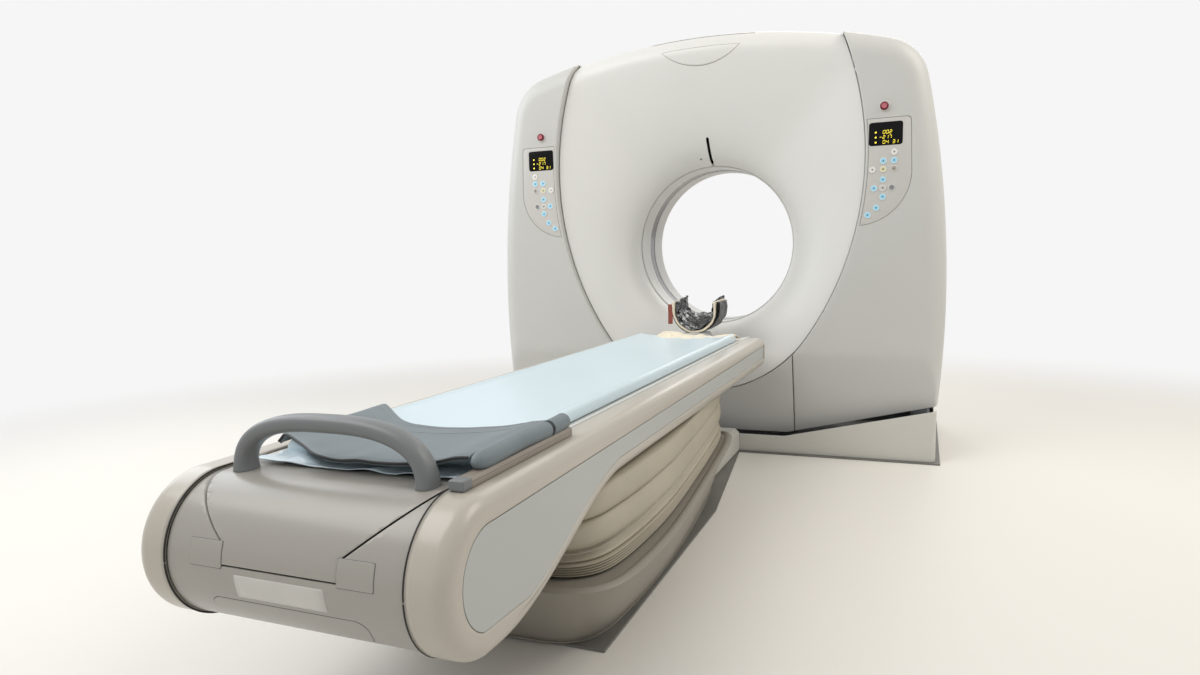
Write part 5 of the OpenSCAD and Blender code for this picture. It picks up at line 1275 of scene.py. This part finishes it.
def makePanel(side, label):
    c = control
    outline = onSide(panelOutline(0), side)
    bm = flatPlate(outline, c["frontY"], c["thick"], c["soft"])
    obj = putInScene(bm, "panel" + label, "gantry", "panelWhite", ["control_panel_" + label.lower()], 50)
    depth, radius = c["seam"]
    # thin dark tube round the panel: painted shade in the gap to the tower
    rim = [Vector((p[0], c["frontY"] + depth, p[1])) for p in outline]
    putInScene(sweptTube(rim + rim[:1], radius, 6), "panelGapShade" + label, "gantry", "seamGrey", sharp=80)
    middleAt, gap = (c["displayC"][0] * side, c["displayC"][1]), c["keyGap"]
    hole = roundedBox(middleAt, c["displayW"] + 2 * gap, c["displayH"] + 2 * gap, c["displayR"] + gap)
    cutter = prism(hole, *c["displayCutY"])
    keysAt = {name: ((c["keyC"][0] + column * c["pitch"]) * side, c["keyC"][1] + row)
              for name, (column, row, _) in keyRows.items()}
    for x, z in keysAt.values():
        bore = bmesh.new()
        roundPeg(bore, x, c["keyCutY"], z, c["keyR"] + gap, c["keyCut"], 40)
        joinIn(cutter, bore)
    resharpened(cutWith(obj, cutter), 40)
    # dark rounded window with a soft bezel
    window = roundedBox(middleAt, c["displayW"], c["displayH"], c["displayR"])
    bm = flatPlate(window, c["displayY"], c["displayThick"], c["displaySoft"])
    putInScene(bm, "display" + label, "gantry", "displayGlass", ["displays"] if side > 0 else (), 40)
    putInScene(displayLights(side), "digits" + label, "gantry", "amber", sharp=40)
    for name, (x, z) in keysAt.items():   # the right keys move, the left ones are part of their panel
        piece = name.title().replace("_", "")
        capLooks = [keyRows[name][2], "keyRim", "seamGrey"]
        if side > 0:
            obj = putInScene(keyCap(x, z), "key" + piece, "key_" + name, capLooks, ["key_" + name], 45)
        else:
            obj = putInScene(keyCap(x, z), "leftKey" + piece, "gantry", capLooks, sharp=45)
        keyFinish(obj, x, z)


def makeStop(side, label):   # mushroom button in its collar
    c, node = control, "estop_" + label.lower()
    x, z, r = c["stopX"] * side, c["stopZ"], c["stopR"]
    hole, wide = r - 0.0055, c["collarR"]
    collar = [(hole, -0.4245), (hole, -0.4275), (wide - 0.0035, -0.4280), (wide - 0.0010, -0.4268),
              (wide, -0.4249), (wide, -0.4240), (hole, -0.4240)]
    putInScene(lathe(collar, (x, 0, z), steps=48), "stopCollar" + label, "gantry", "keyGrey", sharp=40)
    cap = [(0.0, -0.4398), (r * 0.56, -0.4400), (r * 0.62, -0.4404), (r * 0.76, -0.4400),
           (r * 0.90, -0.4388), (r * 0.98, -0.4372), (r, -0.4350), (r * 0.98, -0.4322), (r * 0.90, -0.4315),
           (r * 0.36, -0.4315), (r * 0.36, -0.4180), (0.0, -0.4180)]
    stop = putInScene(lathe(cap, (x, 0, z), steps=48), "stop" + label, node, ["stopRed", "stopPink"],
                      [node], 50)
    for face in stop.data.polygons:   # the middle of the cap is paler
        p = face.center
        face.material_index = int(math.hypot(p.x - x, p.z - z) < r * 0.60 and p.y < -0.437)


for side, label in sides:
    makePanel(side, label)
    makeStop(side, label)

# Small round eye beside the laser slot
eye = {"x": -0.0448, "z": 1.2886,
       "profile": [(0.0, -0.0006), (0.0042, -0.0007), (0.0052, 0.0004), (0.0052, 0.003), (0.0, 0.003)]}
bm = lathe(eye["profile"], (eye["x"], -middleDepth(eye["x"], eye["z"]), eye["z"]), steps=28)
putInScene(bm, "speechEye", "gantry", "seamGrey")
print("panels, keys, displays and stops are shaped")


# Couch base and folded skirt
basePlan = {
    "floor": [(0, 2.293), (0.150, 2.293), (0.205, 2.271), (0.240, 2.223), (0.257, 2.123), (0.265, 1.913),
              (0.262, 1.713), (0.240, 1.368), (0.200, 1.010), (0.162, 0.940)],
    "top": [(0, 2.413), (0.200, 2.413), (0.262, 2.401), (0.309, 2.365), (0.330, 2.303), (0.340, 2.163),
            (0.340, 1.963), (0.296, 1.449), (0.250, 0.980), (0.200, 0.920)],
    "floorZ": 0.0065, "topZ": 0.200, "rimR": 0.010, "wall": 0.003, "flareLow": 0.020, "flareHigh": 0.180,
    "topFlare": 0.190, "middleY": -1.67, "ductHalfW": 0.172, "ductZ": 0.104, "ductCut": 0.018,
    "ductSoft": 0.006, "ductY": (-0.944, -0.430),
}


def planRing(s, cuts=3):   # the plan between floor and top outline, corners cut three times
    pts = [Vector((a + (b - a) * s, -(p + (q - p) * s)))
           for (a, p), (b, q) in zip(basePlan["floor"], basePlan["top"])]
    ring = pts + [Vector((-p.x, p.y)) for p in reversed(pts[1:])]
    for _ in range(cuts):
        ring = [q for k, p in enumerate(ring)
                for q in (p.lerp(ring[k - 1], 0.25), p.lerp(ring[(k + 1) % len(ring)], 0.25))]
    return ring


def pushedRing(ring, d):   # every point moved outwards by d
    n = len(ring)
    moved = []
    for k, p in enumerate(ring):
        run = (ring[(k + 1) % n] - ring[k - 1]).normalized()
        moved.append(p + d * Vector((-run.y, run.x)))
    return moved


def flare(z):   # how far the base has widened at a height, 0 at the floor outline and 1 at the top one
    t = (z - basePlan["flareLow"]) / basePlan["flareHigh"]
    return t * (1.25 - 0.25 * t)


def outOfBase(p):
    return Vector((p.x, p.y - basePlan["middleY"], 0))


def baseSheet():
    b = basePlan
    low, top, rim = b["floorZ"], b["topZ"], b["rimR"]
    rings = [(low, flare(low), -0.004), (low + 0.0030, flare(low), -0.0036), (low + 0.0040, flare(low), 0.0)]
    rings += [(z, flare(z), 0.0) for z in (0.014, 0.03, 0.05, 0.07, 0.09, 0.11, 0.13, 0.15, 0.17, 0.184)]
    wide = flare(b["topFlare"])
    for k in range(7):
        a = math.pi / 2 * k / 6
        rings.append((top - rim * (1 - math.sin(a)), wide, -rim * (1 - math.cos(a))))
    rings += [(top, wide, -rim - 0.006), (top - 0.0030, wide, -rim - 0.012), (top - 0.0036, 0.70, 0.0),
              (top - 0.0036, 0.32, 0.0), (top - 0.012, 0.31, 0.0)]
    lines = [[Vector((*p, z)) for p in pushedRing(planRing(s), d)] for z, s, d in rings]
    return facing(closedSkin(lines, capped=False), outOfBase)


obj = putInScene(baseSheet(), "couchBase", "stand", "baseTaupe", ["couch_base_cover"], 60)
thickened(obj, basePlan["wall"], even=False)
half, top, cut = basePlan["ductHalfW"], basePlan["ductZ"], basePlan["ductCut"]
low = basePlan["floorZ"]
duct = [(-half, low), (half, low), (half, top - cut), (half - cut, top), (cut - half, top),
        (-half, top - cut)]
bm = prism(duct, *basePlan["ductY"])
softened(putInScene(bm, "cableDuct", "stand", "plinthWhite", sharp=40), basePlan["ductSoft"], 4, 30)

skirt = {"s": 0.50, "lowZ": 0.2006, "topGap": 0.003, "wall": 0.0008, "pleats": 5, "pleatH": 0.0060,
         "pleatStart": 0.0006, "softFrom": 0.232, "softOver": 0.02, "softTo": 0.392,
         "levels": [   # height, share
             (0.2309, -0.020), (0.2330, 0.060), (0.2385, 0.085), (0.2425, 0.050), (0.2440, -0.020),
             (0.2490, -0.030), (0.2505, 0.010), (0.2530, 0.012), (0.2545, -0.030), (0.2610, -0.045),
             (0.2635, -0.055), (0.2645, 0.020),
             (0.2675, 0.085), (0.2740, 0.130), (0.2850, 0.160), (0.2980, 0.165), (0.3130, 0.150),
             (0.3250, 0.105), (0.3300, 0.050), (0.3315, -0.040), (0.3330, 0.050), (0.3375, 0.105),
             (0.3470, 0.150), (0.3580, 0.165),
             (0.3680, 0.165), (0.3780, 0.160), (0.3860, 0.130), (0.3915, 0.085), (0.3932, 0.040),
             (0.3936, -0.120), (0.3937, -0.300), (0.3938, -0.440)]}


pleat = [(0.0, -0.030), (0.0006, -0.030), (0.0014, 0.100), (0.0024, 0.150), (0.0034, 0.155), (0.0044, 0.140),
         (0.0052, 0.090)]   # height within a pleat, share of the plan


skirtFolds = {"waves": [(5, 16, 0.0035), (22, 60, 0.0012)],   # scale in plan, scale in height, depth
              "sag": [(4, 4, 7.3, 0.0028)], "centreY": -1.75, "endShare": 0.35,
              "dent": 0.007, "dentX": 0.27, "dentY": -2.27, "dentZ": 0.262, "dentWide": 0.003,
              "dentHigh": 0.010}


def skirtPoint(p, z, soft):   # a point of the skirt with its folds, pressed under the couch's underside
    low, f = skirt["lowZ"], skirtFolds
    room = (undersideZ(p.y) - skirt["topGap"] - low) / (couch["beamLow"] - low)
    wave = sum(deep * noise.noise(Vector((p.x * flat, p.y * flat, z * up))) for flat, up, deep in f["waves"])
    away = ((p.x - f["dentX"]) ** 2 + (p.y - f["dentY"]) ** 2) / f["dentWide"]
    dent = f["dent"] * math.exp(-away - ((z - f["dentZ"]) / f["dentHigh"]) ** 2)
    out = Vector((p.x, (p.y - f["centreY"]) * f["endShare"])).normalized() * (wave * soft - dent)
    return Vector((p.x + out.x, p.y + out.y, low + (z + waves(p.x, p.y, f["sag"]) * soft - low) * room))


def skirtSheet(k):
    levels = [(k["lowZ"], -0.140), (k["lowZ"] + 0.0002, 0.020)]
    for i in range(k["pleats"]):
        z = k["lowZ"] + k["pleatStart"] + i * k["pleatH"]
        levels += [(z + rise, share) for rise, share in pleat]
    lines = []
    for z, s in levels + k["levels"]:
        soft = clamped((z - k["softFrom"]) / k["softOver"]) * (z < k["softTo"])
        lines.append([skirtPoint(p, z, soft) for p in planRing(k["s"] + s)])
    return facing(closedSkin(lines, capped=False), outOfBase)


obj = putInScene(skirtSheet(skirt), "foldedSkirt", None, "bellowsCream", ["bellows"], 80)
thickened(obj, skirt["wall"], even=False)
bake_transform(obj)
print("base and folded skirt are shaped")

# Mat on the tabletop
mat = {"halfW": 0.207, "edgeR": 0.018, "topZ": 0.5255, "rise": 0.0135, "bottomZ": 0.4888, "dish": 0.0218,
       "nearY": -0.655, "farY": -2.658, "endRound": 0.008, "midZ": 0.512, "softFrom": 0.516,
       "softOver": 0.012, "thickEnd": 0.002, "thickFrom": -1.5, "thickOver": 0.8, "rows": 150, "endIn": 0.02,
       "endFlat": 0.25, "waves": [(3, 2.2, 1, 0.0022), (9, 7, 4, 0.0007)], "sideWave": (5, 0.0016),
       "sideSeeds": (2.0, 9.0)}
quarter = [math.pi / 2 * k / 5 for k in range(6)]


def matSection(y):
    m, w, r = mat, mat["halfW"], mat["edgeR"]
    lift = m["thickEnd"] * easeInOut((y - m["thickFrom"]) / m["thickOver"])
    side = m["bottomZ"] + m["dish"]

    def top(x):
        return m["topZ"] + m["rise"] * (x / w) ** 2 + lift * (0.6 + 0.4 * abs(x / w))

    shoulder = [(w - r * (1 - math.cos(a)), top(w) - r * (1 - math.sin(a))) for a in quarter]
    low = [(w - 0.003, side + 0.001), (w - 0.0005, side + 0.005)]
    right = low + shoulder
    points = [(x, m["bottomZ"] + m["dish"] * (x / (w - 0.003)) ** 2)
              for x in [(w - 0.006) * k / 8 for k in range(-8, 9)]]
    points += right + [(x, top(x)) for x in [(w - r - 0.006) * k / 14 for k in range(14, -15, -1)]]
    return points + [(-x, z) for x, z in reversed(right)]


def matPoint(x, y, z, full):   # full is 1 along the mat and sinks to 0 over its rounded ends
    soft = clamped((z - mat["softFrom"]) / mat["softOver"]) * full
    scale, deep = mat["sideWave"]
    side = waves(0, y, [(0, scale, mat["sideSeeds"][x <= 0], deep)]) * (abs(x) / mat["halfW"]) ** 8
    height = (z - mat["midZ"]) * (mat["endFlat"] + (1 - mat["endFlat"]) * full)
    return Vector((x + math.copysign(side, x) - (1 - full) * x * mat["endIn"], y,
                   mat["midZ"] + height + waves(x, y, mat["waves"]) * soft))


def matBody(m):
    ends, rows = m["endRound"], m["rows"]
    stations = [(m["nearY"] - (1 - math.cos(a)) * ends, math.sin(a)) for a in quarter]
    stations += [(m["nearY"] - ends + (m["farY"] - m["nearY"] + 2 * ends) * k / rows, 1.0)
                 for k in range(1, rows)]
    stations += [(m["farY"] + (1 - math.cos(a)) * ends, math.sin(a)) for a in reversed(quarter)]
    return closedSkin([[matPoint(x, y, z, full) for x, z in matSection(y)] for y, full in stations])


matPiece = putInScene(matBody(mat), "patientMat", "tabletop", "matBlue", ["mat"], 70)

# Crumpled cloth over the gantry end of the mat, and the film under the foot pad
cloth = {"x": (-0.120, 0.206), "y": (-0.735, -0.572), "height": 0.010, "scale": 24, "steps": (64, 26),
         "seed": 3, "droop": 0.006, "wall": 0.004, "z": 0.5240, "rise": 0.015, "fall": 0.020,
         "fallFrom": -0.645, "fallOver": 0.07,
         "heap": 0.016, "heapX": -0.075, "heapY": -0.630, "heapWide": 0.07, "heapLong": 0.05}
crumple = {"fine": 2.3, "offset": 5, "lift": 0.5, "share": 0.6, "sideX": 0.003, "sideY": 0.004, "border": 3}
film = {"x": (-0.205, 0.222), "y": (-2.738, -2.640), "height": 0.007, "scale": 20, "steps": (60, 16),
        "seed": 8, "droop": 0.001, "wall": 0.0012, "z": 0.5170}


def clothZ(x, y):   # follows the mat, falls over its end and heaps up on the left
    c = cloth
    heap = math.exp(-((x - c["heapX"]) / c["heapWide"]) ** 2 - ((y - c["heapY"]) / c["heapLong"]) ** 2)
    fall = c["fall"] * easeInOut((y - c["fallFrom"]) / c["fallOver"])
    return c["z"] + c["rise"] * (x / mat["halfW"]) ** 2 - fall + c["heap"] * heap


def crumpledSheet(c, restZ):
    (x0, x1), (y0, y1), (across, along), scale = c["x"], c["y"], c["steps"], c["scale"]

    def place(i, j):
        x, y = x0 + (x1 - x0) * i / across, y0 + (y1 - y0) * j / along
        edge = min(i, across - i, j, along - j) / crumple["border"]
        fine = scale * crumple["fine"]
        broad = waves(x, y, [(scale, scale, c["seed"], 1)])
        sharp = abs(waves(x, y, [(fine, fine, c["seed"] + crumple["offset"], 1)]))
        up = c["height"] * max(0.0, broad + crumple["lift"] - sharp * crumple["share"])
        up -= c["droop"] * max(0, 1 - edge)
        return Vector((x + broad * crumple["sideX"], y + sharp * crumple["sideY"], restZ(x, y) + up))

    return facing(surfaceGrid(across, along, place), lambda p: Vector((0, 0, 1)))


obj = putInScene(crumpledSheet(cloth, clothZ), "matEndCloth", "tabletop", "foamCream", sharp=80)
thickened(obj, cloth["wall"], even=False)
fold = obj.modifiers.new("smoother", "SUBSURF")
fold.levels = fold.render_levels = 1
settled(obj)
obj = putInScene(crumpledSheet(film, lambda x, y: film["z"]), "matFilm", "tabletop", "filmBlue", sharp=80)
thickened(obj, film["wall"], even=False)

# Foot pad: a dark padded sheet over the end of the mat, rolled round a rail on the right
pad = {"leftX": -0.231, "rightX": 0.236, "farY": -2.740, "nearY": -2.405, "nearBow": 0.066, "farBow": 0.086,
       "thick": 0.0085, "soft": 0.0025, "rollX": 0.250, "rollZ": 0.5455, "rollR": 0.0160, "pipeR": 0.0026,
       "strapY": -2.4780, "strapHalf": 0.009, "strapIn": 0.0024, "rollGap": 0.006, "rollY": (-2.738, -2.397),
       "nearMid": (0.03, 0.26), "nearLeft": (0.05, 0.18), "farLeft": (0.02, 0.21), "farRight": (0.17, 0.06),
       "farRightBow": 0.012, "midZ": 0.5365, "dishRise": 0.014, "edgeZ": 0.5505, "edgeFall": 0.016,
       "climb": 0.0035, "climbFrom": 0.150, "climbOver": 0.085, "curlY": -2.738, "curlLong": 0.05,
       "curl": [(16, 0, 3.1, 0.004)], "waves": [(7, 6, 11, 0.0018), (21, 15, 2, 0.0007)],
       "rim": 0.0022, "rimShare": 30, "sewnAt": (0.022, 0.060), "sewnR": 0.0007, "grid": (64, 52),
       "capY": 0.026, "railY": (-2.796, -2.397),
       "rail": [(0.2400, 0.5170), (0.2660, 0.5170), (0.2660, 0.5235), (0.2650, 0.5245), (0.2660, 0.5255),
                (0.2660, 0.5285), (0.2625, 0.5328), (0.2590, 0.5330), (0.2580, 0.5318), (0.2570, 0.5330),
                (0.2430, 0.5330), (0.2400, 0.5300)],
       "cap": (0.2392, 0.2668, 0.5166, 0.5338)}


def padTopZ(x, y):
    p, w = pad, mat["halfW"]
    if x < -w:
        base = p["edgeZ"] - p["edgeFall"] * easeInOut((-w - x) / (-p["leftX"] - w))
    else:
        base = p["midZ"] + p["dishRise"] * (min(abs(x), w) / w) ** 2
    climb = p["climb"] * easeInOut((x - p["climbFrom"]) / p["climbOver"])
    curl = waves(x, 0, p["curl"]) * math.exp(-((y - p["curlY"]) / p["curlLong"]) ** 2)
    return base + climb + curl + waves(x, y, p["waves"])


def padY(x, t):   # t from 0 at the gantry side to 1 at the foot side
    def swing(value, start, over):
        return easeInOut((value - start) / over)

    mid, half = pad["nearMid"]
    near = pad["nearY"] - pad["nearBow"] * (1 - min(1.0, ((x - mid) / half) ** 2))
    near += pad["nearBow"] * swing(-x, *pad["nearLeft"])
    if x < 0:
        curve = pad["farBow"] * swing(-x, *pad["farLeft"])
    else:
        curve = pad["farRightBow"] * swing(x, *pad["farRight"])
    return near + (pad["farY"] + curve - near) * t


def padSheet():
    across, along = pad["grid"]

    def place(i, j):
        x = pad["leftX"] + (pad["rightX"] - pad["leftX"]) * i / across
        y = padY(x, j / along)
        edge = min(j, along - j) / along
        return Vector((x, y, padTopZ(x, y) - pad["rim"] * max(0.0, 1 - edge * pad["rimShare"])))

    return facing(surfaceGrid(across, along, place), lambda p: Vector((0, 0, 1)))


obj = thickened(putInScene(padSheet(), "footPad", "tabletop", "padGrey", ["foot_pad"], 80), pad["thick"],
                even=False)
softened(obj, pad["soft"], 3, 60)
obj.data.polygons.foreach_set("use_smooth", [True] * len(obj.data.polygons))

path = []
for k in range(81):
    x = pad["leftX"] + 0.004 + (pad["rightX"] - pad["leftX"] - 0.006) * k / 80
    y = padY(x, 1.0)
    path.append(Vector((x, y - 0.0005, padTopZ(x, y) - pad["thick"] * 0.5)))
putInScene(sweptTube(path, pad["pipeR"]), "padPiping", "tabletop", "padEdge", sharp=80)
for n, offset in enumerate(pad["sewnAt"]):   # sewn lines that follow the gantry-side edge
    path = []
    for k in range(71):
        x = -0.205 + 0.40 * k / 70
        y = padY(x, 0.0) - offset - 0.03 * n * (x + 0.2)
        path.append(Vector((x, y, padTopZ(x, y) + 0.0002)))
    putInScene(sweptTube(path, pad["sewnR"], 6), f"padSeam{n + 1}", "tabletop", "padLine", sharp=80)


def rollPath(y0, y1, count):   # the middle line of the roll, slightly uneven
    ys = [y0 + (y1 - y0) * k / count for k in range(count + 1)]
    return [Vector((pad["rollX"] + 0.0012 * math.sin(y * 30), y, pad["rollZ"] + 0.0010 * math.sin(y * 21)))
            for y in ys]


def rollRadius(count, roundFirst):   # one end of each roll is rounded off
    def at(k):
        t = min(1.0, (k if roundFirst else count - k) / 5)
        return pad["rollR"] * math.sqrt(max(0.02, 1 - (1 - t) ** 2)) * (1 + 0.008 * math.sin(k * 1.1))
    return at


strapY, farEnd, nearEnd = pad["strapY"], *pad["rollY"]
for name, y0, y1, roundFirst in (("padRollLong", farEnd, strapY - pad["rollGap"], True),
                                 ("padRollShort", strapY + pad["rollGap"], nearEnd, False)):
    bm = sweptTube(rollPath(y0, y1, 40), rollRadius(40, roundFirst), 28)
    putInScene(bm, name, "tabletop", "padGrey", sharp=70)
bm = sweptTube(rollPath(strapY - pad["strapHalf"], strapY + pad["strapHalf"], 6),
               pad["rollR"] - pad["strapIn"], 28)
putInScene(bm, "rollStrap", "tabletop", "padEdge", sharp=60)
y0, y1 = pad["railY"]
bm = prism(pad["rail"], y0 + pad["capY"], y1)
softened(putInScene(bm, "padRail", "tabletop", "railTan", sharp=30), 0.0006, 2, 35)
bm = prism(boxPoints(*pad["cap"]), y0, y0 + pad["capY"])
softened(putInScene(bm, "railCap", "tabletop", "gripGrey", sharp=30), 0.0028, 4, 35)
print("mat and foot pad are laid")

# Head holder: dark outer shell, cream foam, crinkled liner
holder = {"centreZ": 0.625, "r": 0.099, "sideTop": 0.664, "nearY": -0.345, "farY": -0.528, "foam": 0.010,
          "shell": 0.003, "lining": 0.0015, "crinkle": 0.012, "sideFrom": 0.600, "sideOver": 0.06,
          "lift": 0.060, "liftFrom": -0.520, "liftOver": 0.17,
          "neck": [(-0.060, 0.4935), (0.060, 0.4935), (0.060, 0.5180), (0.046, 0.5310), (-0.046, 0.5310),
                   (-0.060, 0.5180)], "neckY": (-0.564, -0.442)}


def holderLine(r, top):   # the U from the left upper edge round to the right one
    side = [Vector((-r, top + (holder["centreZ"] - top) * k / 6)) for k in range(6)]
    arc = arcPoints(Vector((0, holder["centreZ"])), r, math.pi, 2 * math.pi, 44)
    return side + arc + [Vector((r, holder["centreZ"] + (top - holder["centreZ"]) * k / 6))
                         for k in range(1, 7)]


def holderSheet(r, y0, y1, top, rough, seed, along=30):
    line = holderLine(r, top)

    def place(i, j):
        p = line[i]
        y = y0 + (y1 - y0) * j / along
        high = max(0.0, (p.y - holder["sideFrom"]) / holder["sideOver"])
        y += high * 0.016 * math.sin(p.x * 30 + seed)
        raised = holder["lift"] * easeInOut((y - holder["liftFrom"]) / holder["liftOver"])
        z = p.y + raised * max(0.0, 1 - (p.x / holder["r"]) ** 2)
        n1 = noise.noise(Vector((p.x * 34, y * 26, p.y * 34 + seed)))
        n2 = abs(noise.noise(Vector((p.x * 70, y * 60, p.y * 70 + seed))))
        inward = Vector((-p.x, 0, holder["centreZ"] - p.y))
        inward = inward.normalized() if inward.length > 1e-6 else Vector((0, 0, 1))
        return Vector((p.x, y, z)) + inward * rough * max(0.0, n1 - n2 + 0.5)

    bm = surfaceGrid(len(line) - 1, along, place)
    return facing(bm, lambda q: Vector((q.x, 0, q.z - holder["centreZ"])))


h = holder
bm = holderSheet(h["r"], h["farY"] + 0.004, h["nearY"], h["sideTop"] - 0.003, 0.0, 0)
obj = putInScene(bm, "holderShell", "tabletop", "holderBlack", ["head_holder"], 70)
softened(thickened(obj, h["shell"], even=False), 0.0010, 2, 60)
foamR = h["r"] - h["shell"] - 0.0005
bm = holderSheet(foamR, h["farY"], h["nearY"] + 0.003, h["sideTop"] - 0.001, 0.0015, 2)
obj = thickened(putInScene(bm, "holderFoam", "tabletop", "foamCream", sharp=80), h["foam"], even=False)
softened(obj, 0.0028, 3, 60)
linerR = h["r"] - h["shell"] - h["foam"] - 0.0015
bm = holderSheet(linerR, h["farY"] - 0.004, h["nearY"] + 0.006, h["sideTop"], h["crinkle"], 5, 60)
obj = putInScene(bm, "holderLiner", "tabletop", "foilDark", sharp=35)
thickened(obj, h["lining"], even=False)

# Second flap on the right, strap on the left, neck under the shell
flap = {"centre": (0.008, 0.638), "r": 0.1065, "angles": (-68, 14), "steps": (30, 14), "y": -0.522,
        "long": 0.128, "skew": 0.02, "waves": [(0.2, 0.3, 1, 0.004)], "wall": 0.0045, "soft": 0.0018}
strap = {"x": -0.1150, "wide": 0.0205, "y": -0.5300, "wave": 0.0008, "z": 0.568, "high": 0.084,
         "steps": (12, 4), "wall": 0.0022, "soft": 0.0008}
flapLine = arcPoints(Vector(flap["centre"]), flap["r"], *(math.radians(a) for a in flap["angles"]),
                     flap["steps"][0])


def flapPoint(i, j):
    across, along = flap["steps"]
    y = flap["y"] + flap["long"] * j / along - flap["skew"] * (i / across) * (1 - j / along)
    return Vector((flapLine[i].x + waves(i, j, flap["waves"]), y, flapLine[i].y))


def strapPoint(i, j):
    up, across = strap["steps"]
    return Vector((strap["x"] + strap["wide"] * j / across, strap["y"] - strap["wave"] * math.sin(i * 0.8),
                   strap["z"] + strap["high"] * i / up))


bm = facing(surfaceGrid(*flap["steps"], flapPoint), lambda q: Vector((q.x, 0, q.z - 0.66)))
obj = thickened(putInScene(bm, "holderFlap", "tabletop", "holderBlack", sharp=70), flap["wall"], even=False)
softened(obj, flap["soft"], 3, 60)
bm = facing(surfaceGrid(*strap["steps"], strapPoint), lambda q: Vector((0, -1, 0)))
obj = thickened(putInScene(bm, "holderStrap", "tabletop", "strapRed", sharp=70), strap["wall"], even=False)
softened(obj, strap["soft"], 2, 60)
obj = putInScene(prism(h["neck"], *h["neckY"]), "holderNeck", "tabletop", "unitGrey", sharp=35)
softened(obj, 0.004, 3, 30)
print("head holder is shaped")


# Bodies that keep their CAD shape: some get softened edges, all get their own finish
plain = {
    "softened": {   # node: piece name, body, finish, edge width
        "floor_plate": ("floorPlate", "stand", "plateGrey", 0.0012),
        "plinth_left": ("plinthLeft", "stand", "plinthWhite", 0.0030),
        "plinth_right": ("plinthRight", "stand", "plinthWhite", 0.0030),
        "plinth_centre": ("plinthCentre", "stand", "plinthWhite", 0.0025),
        "tabletop": ("slidingTop", "tabletop", "topGrey", 0.0015),
    },
    "kept": {
        "stand_frame": "steelPaint", "tilt_frame": "steelPaint", "tilt_sector": "steelBare",
        "tilt_pinion": "steelBare", "tilt_motor": "unitGrey", "rotor_ring": "steelBare",
        "slip_ring": "copper", "brush_block": "unitGrey",
        "xray_tube": "unitGrey", "collimator": "steelPaint", "detector": "gripGrey", "generator": "unitGrey",
        "drive_motor": "unitGrey", "drive_pulley": "steelBare", "drive_belt": "rubber",
        "lift_columns": "steelBare", "lift_rams": "steelBare", "couch_frame": "steelPaint",
    },
}


def softenedCopy(node, name, body, finish, width):
    bm = bmesh.new()
    bm.from_mesh(cadNodes[node].data)
    bmesh.ops.remove_doubles(bm, verts=bm.verts, dist=2e-5)
    bmesh.ops.dissolve_limit(bm, angle_limit=math.radians(1.5), verts=bm.verts, edges=bm.edges)
    return softened(putInScene(bm, name, body, finish, [node]), width, 2, 40)


for node, settings in plain["softened"].items():
    softenedCopy(node, *settings)
for node, finish in plain["kept"].items():
    keptBody = cadNodes[node]
    if not keptBody.material_slots:
        keptBody.data.materials.append(finishes[finish])
    for place in keptBody.material_slots:
        place.material = finishes[finish]
print("frame and drive parts have their finishes")
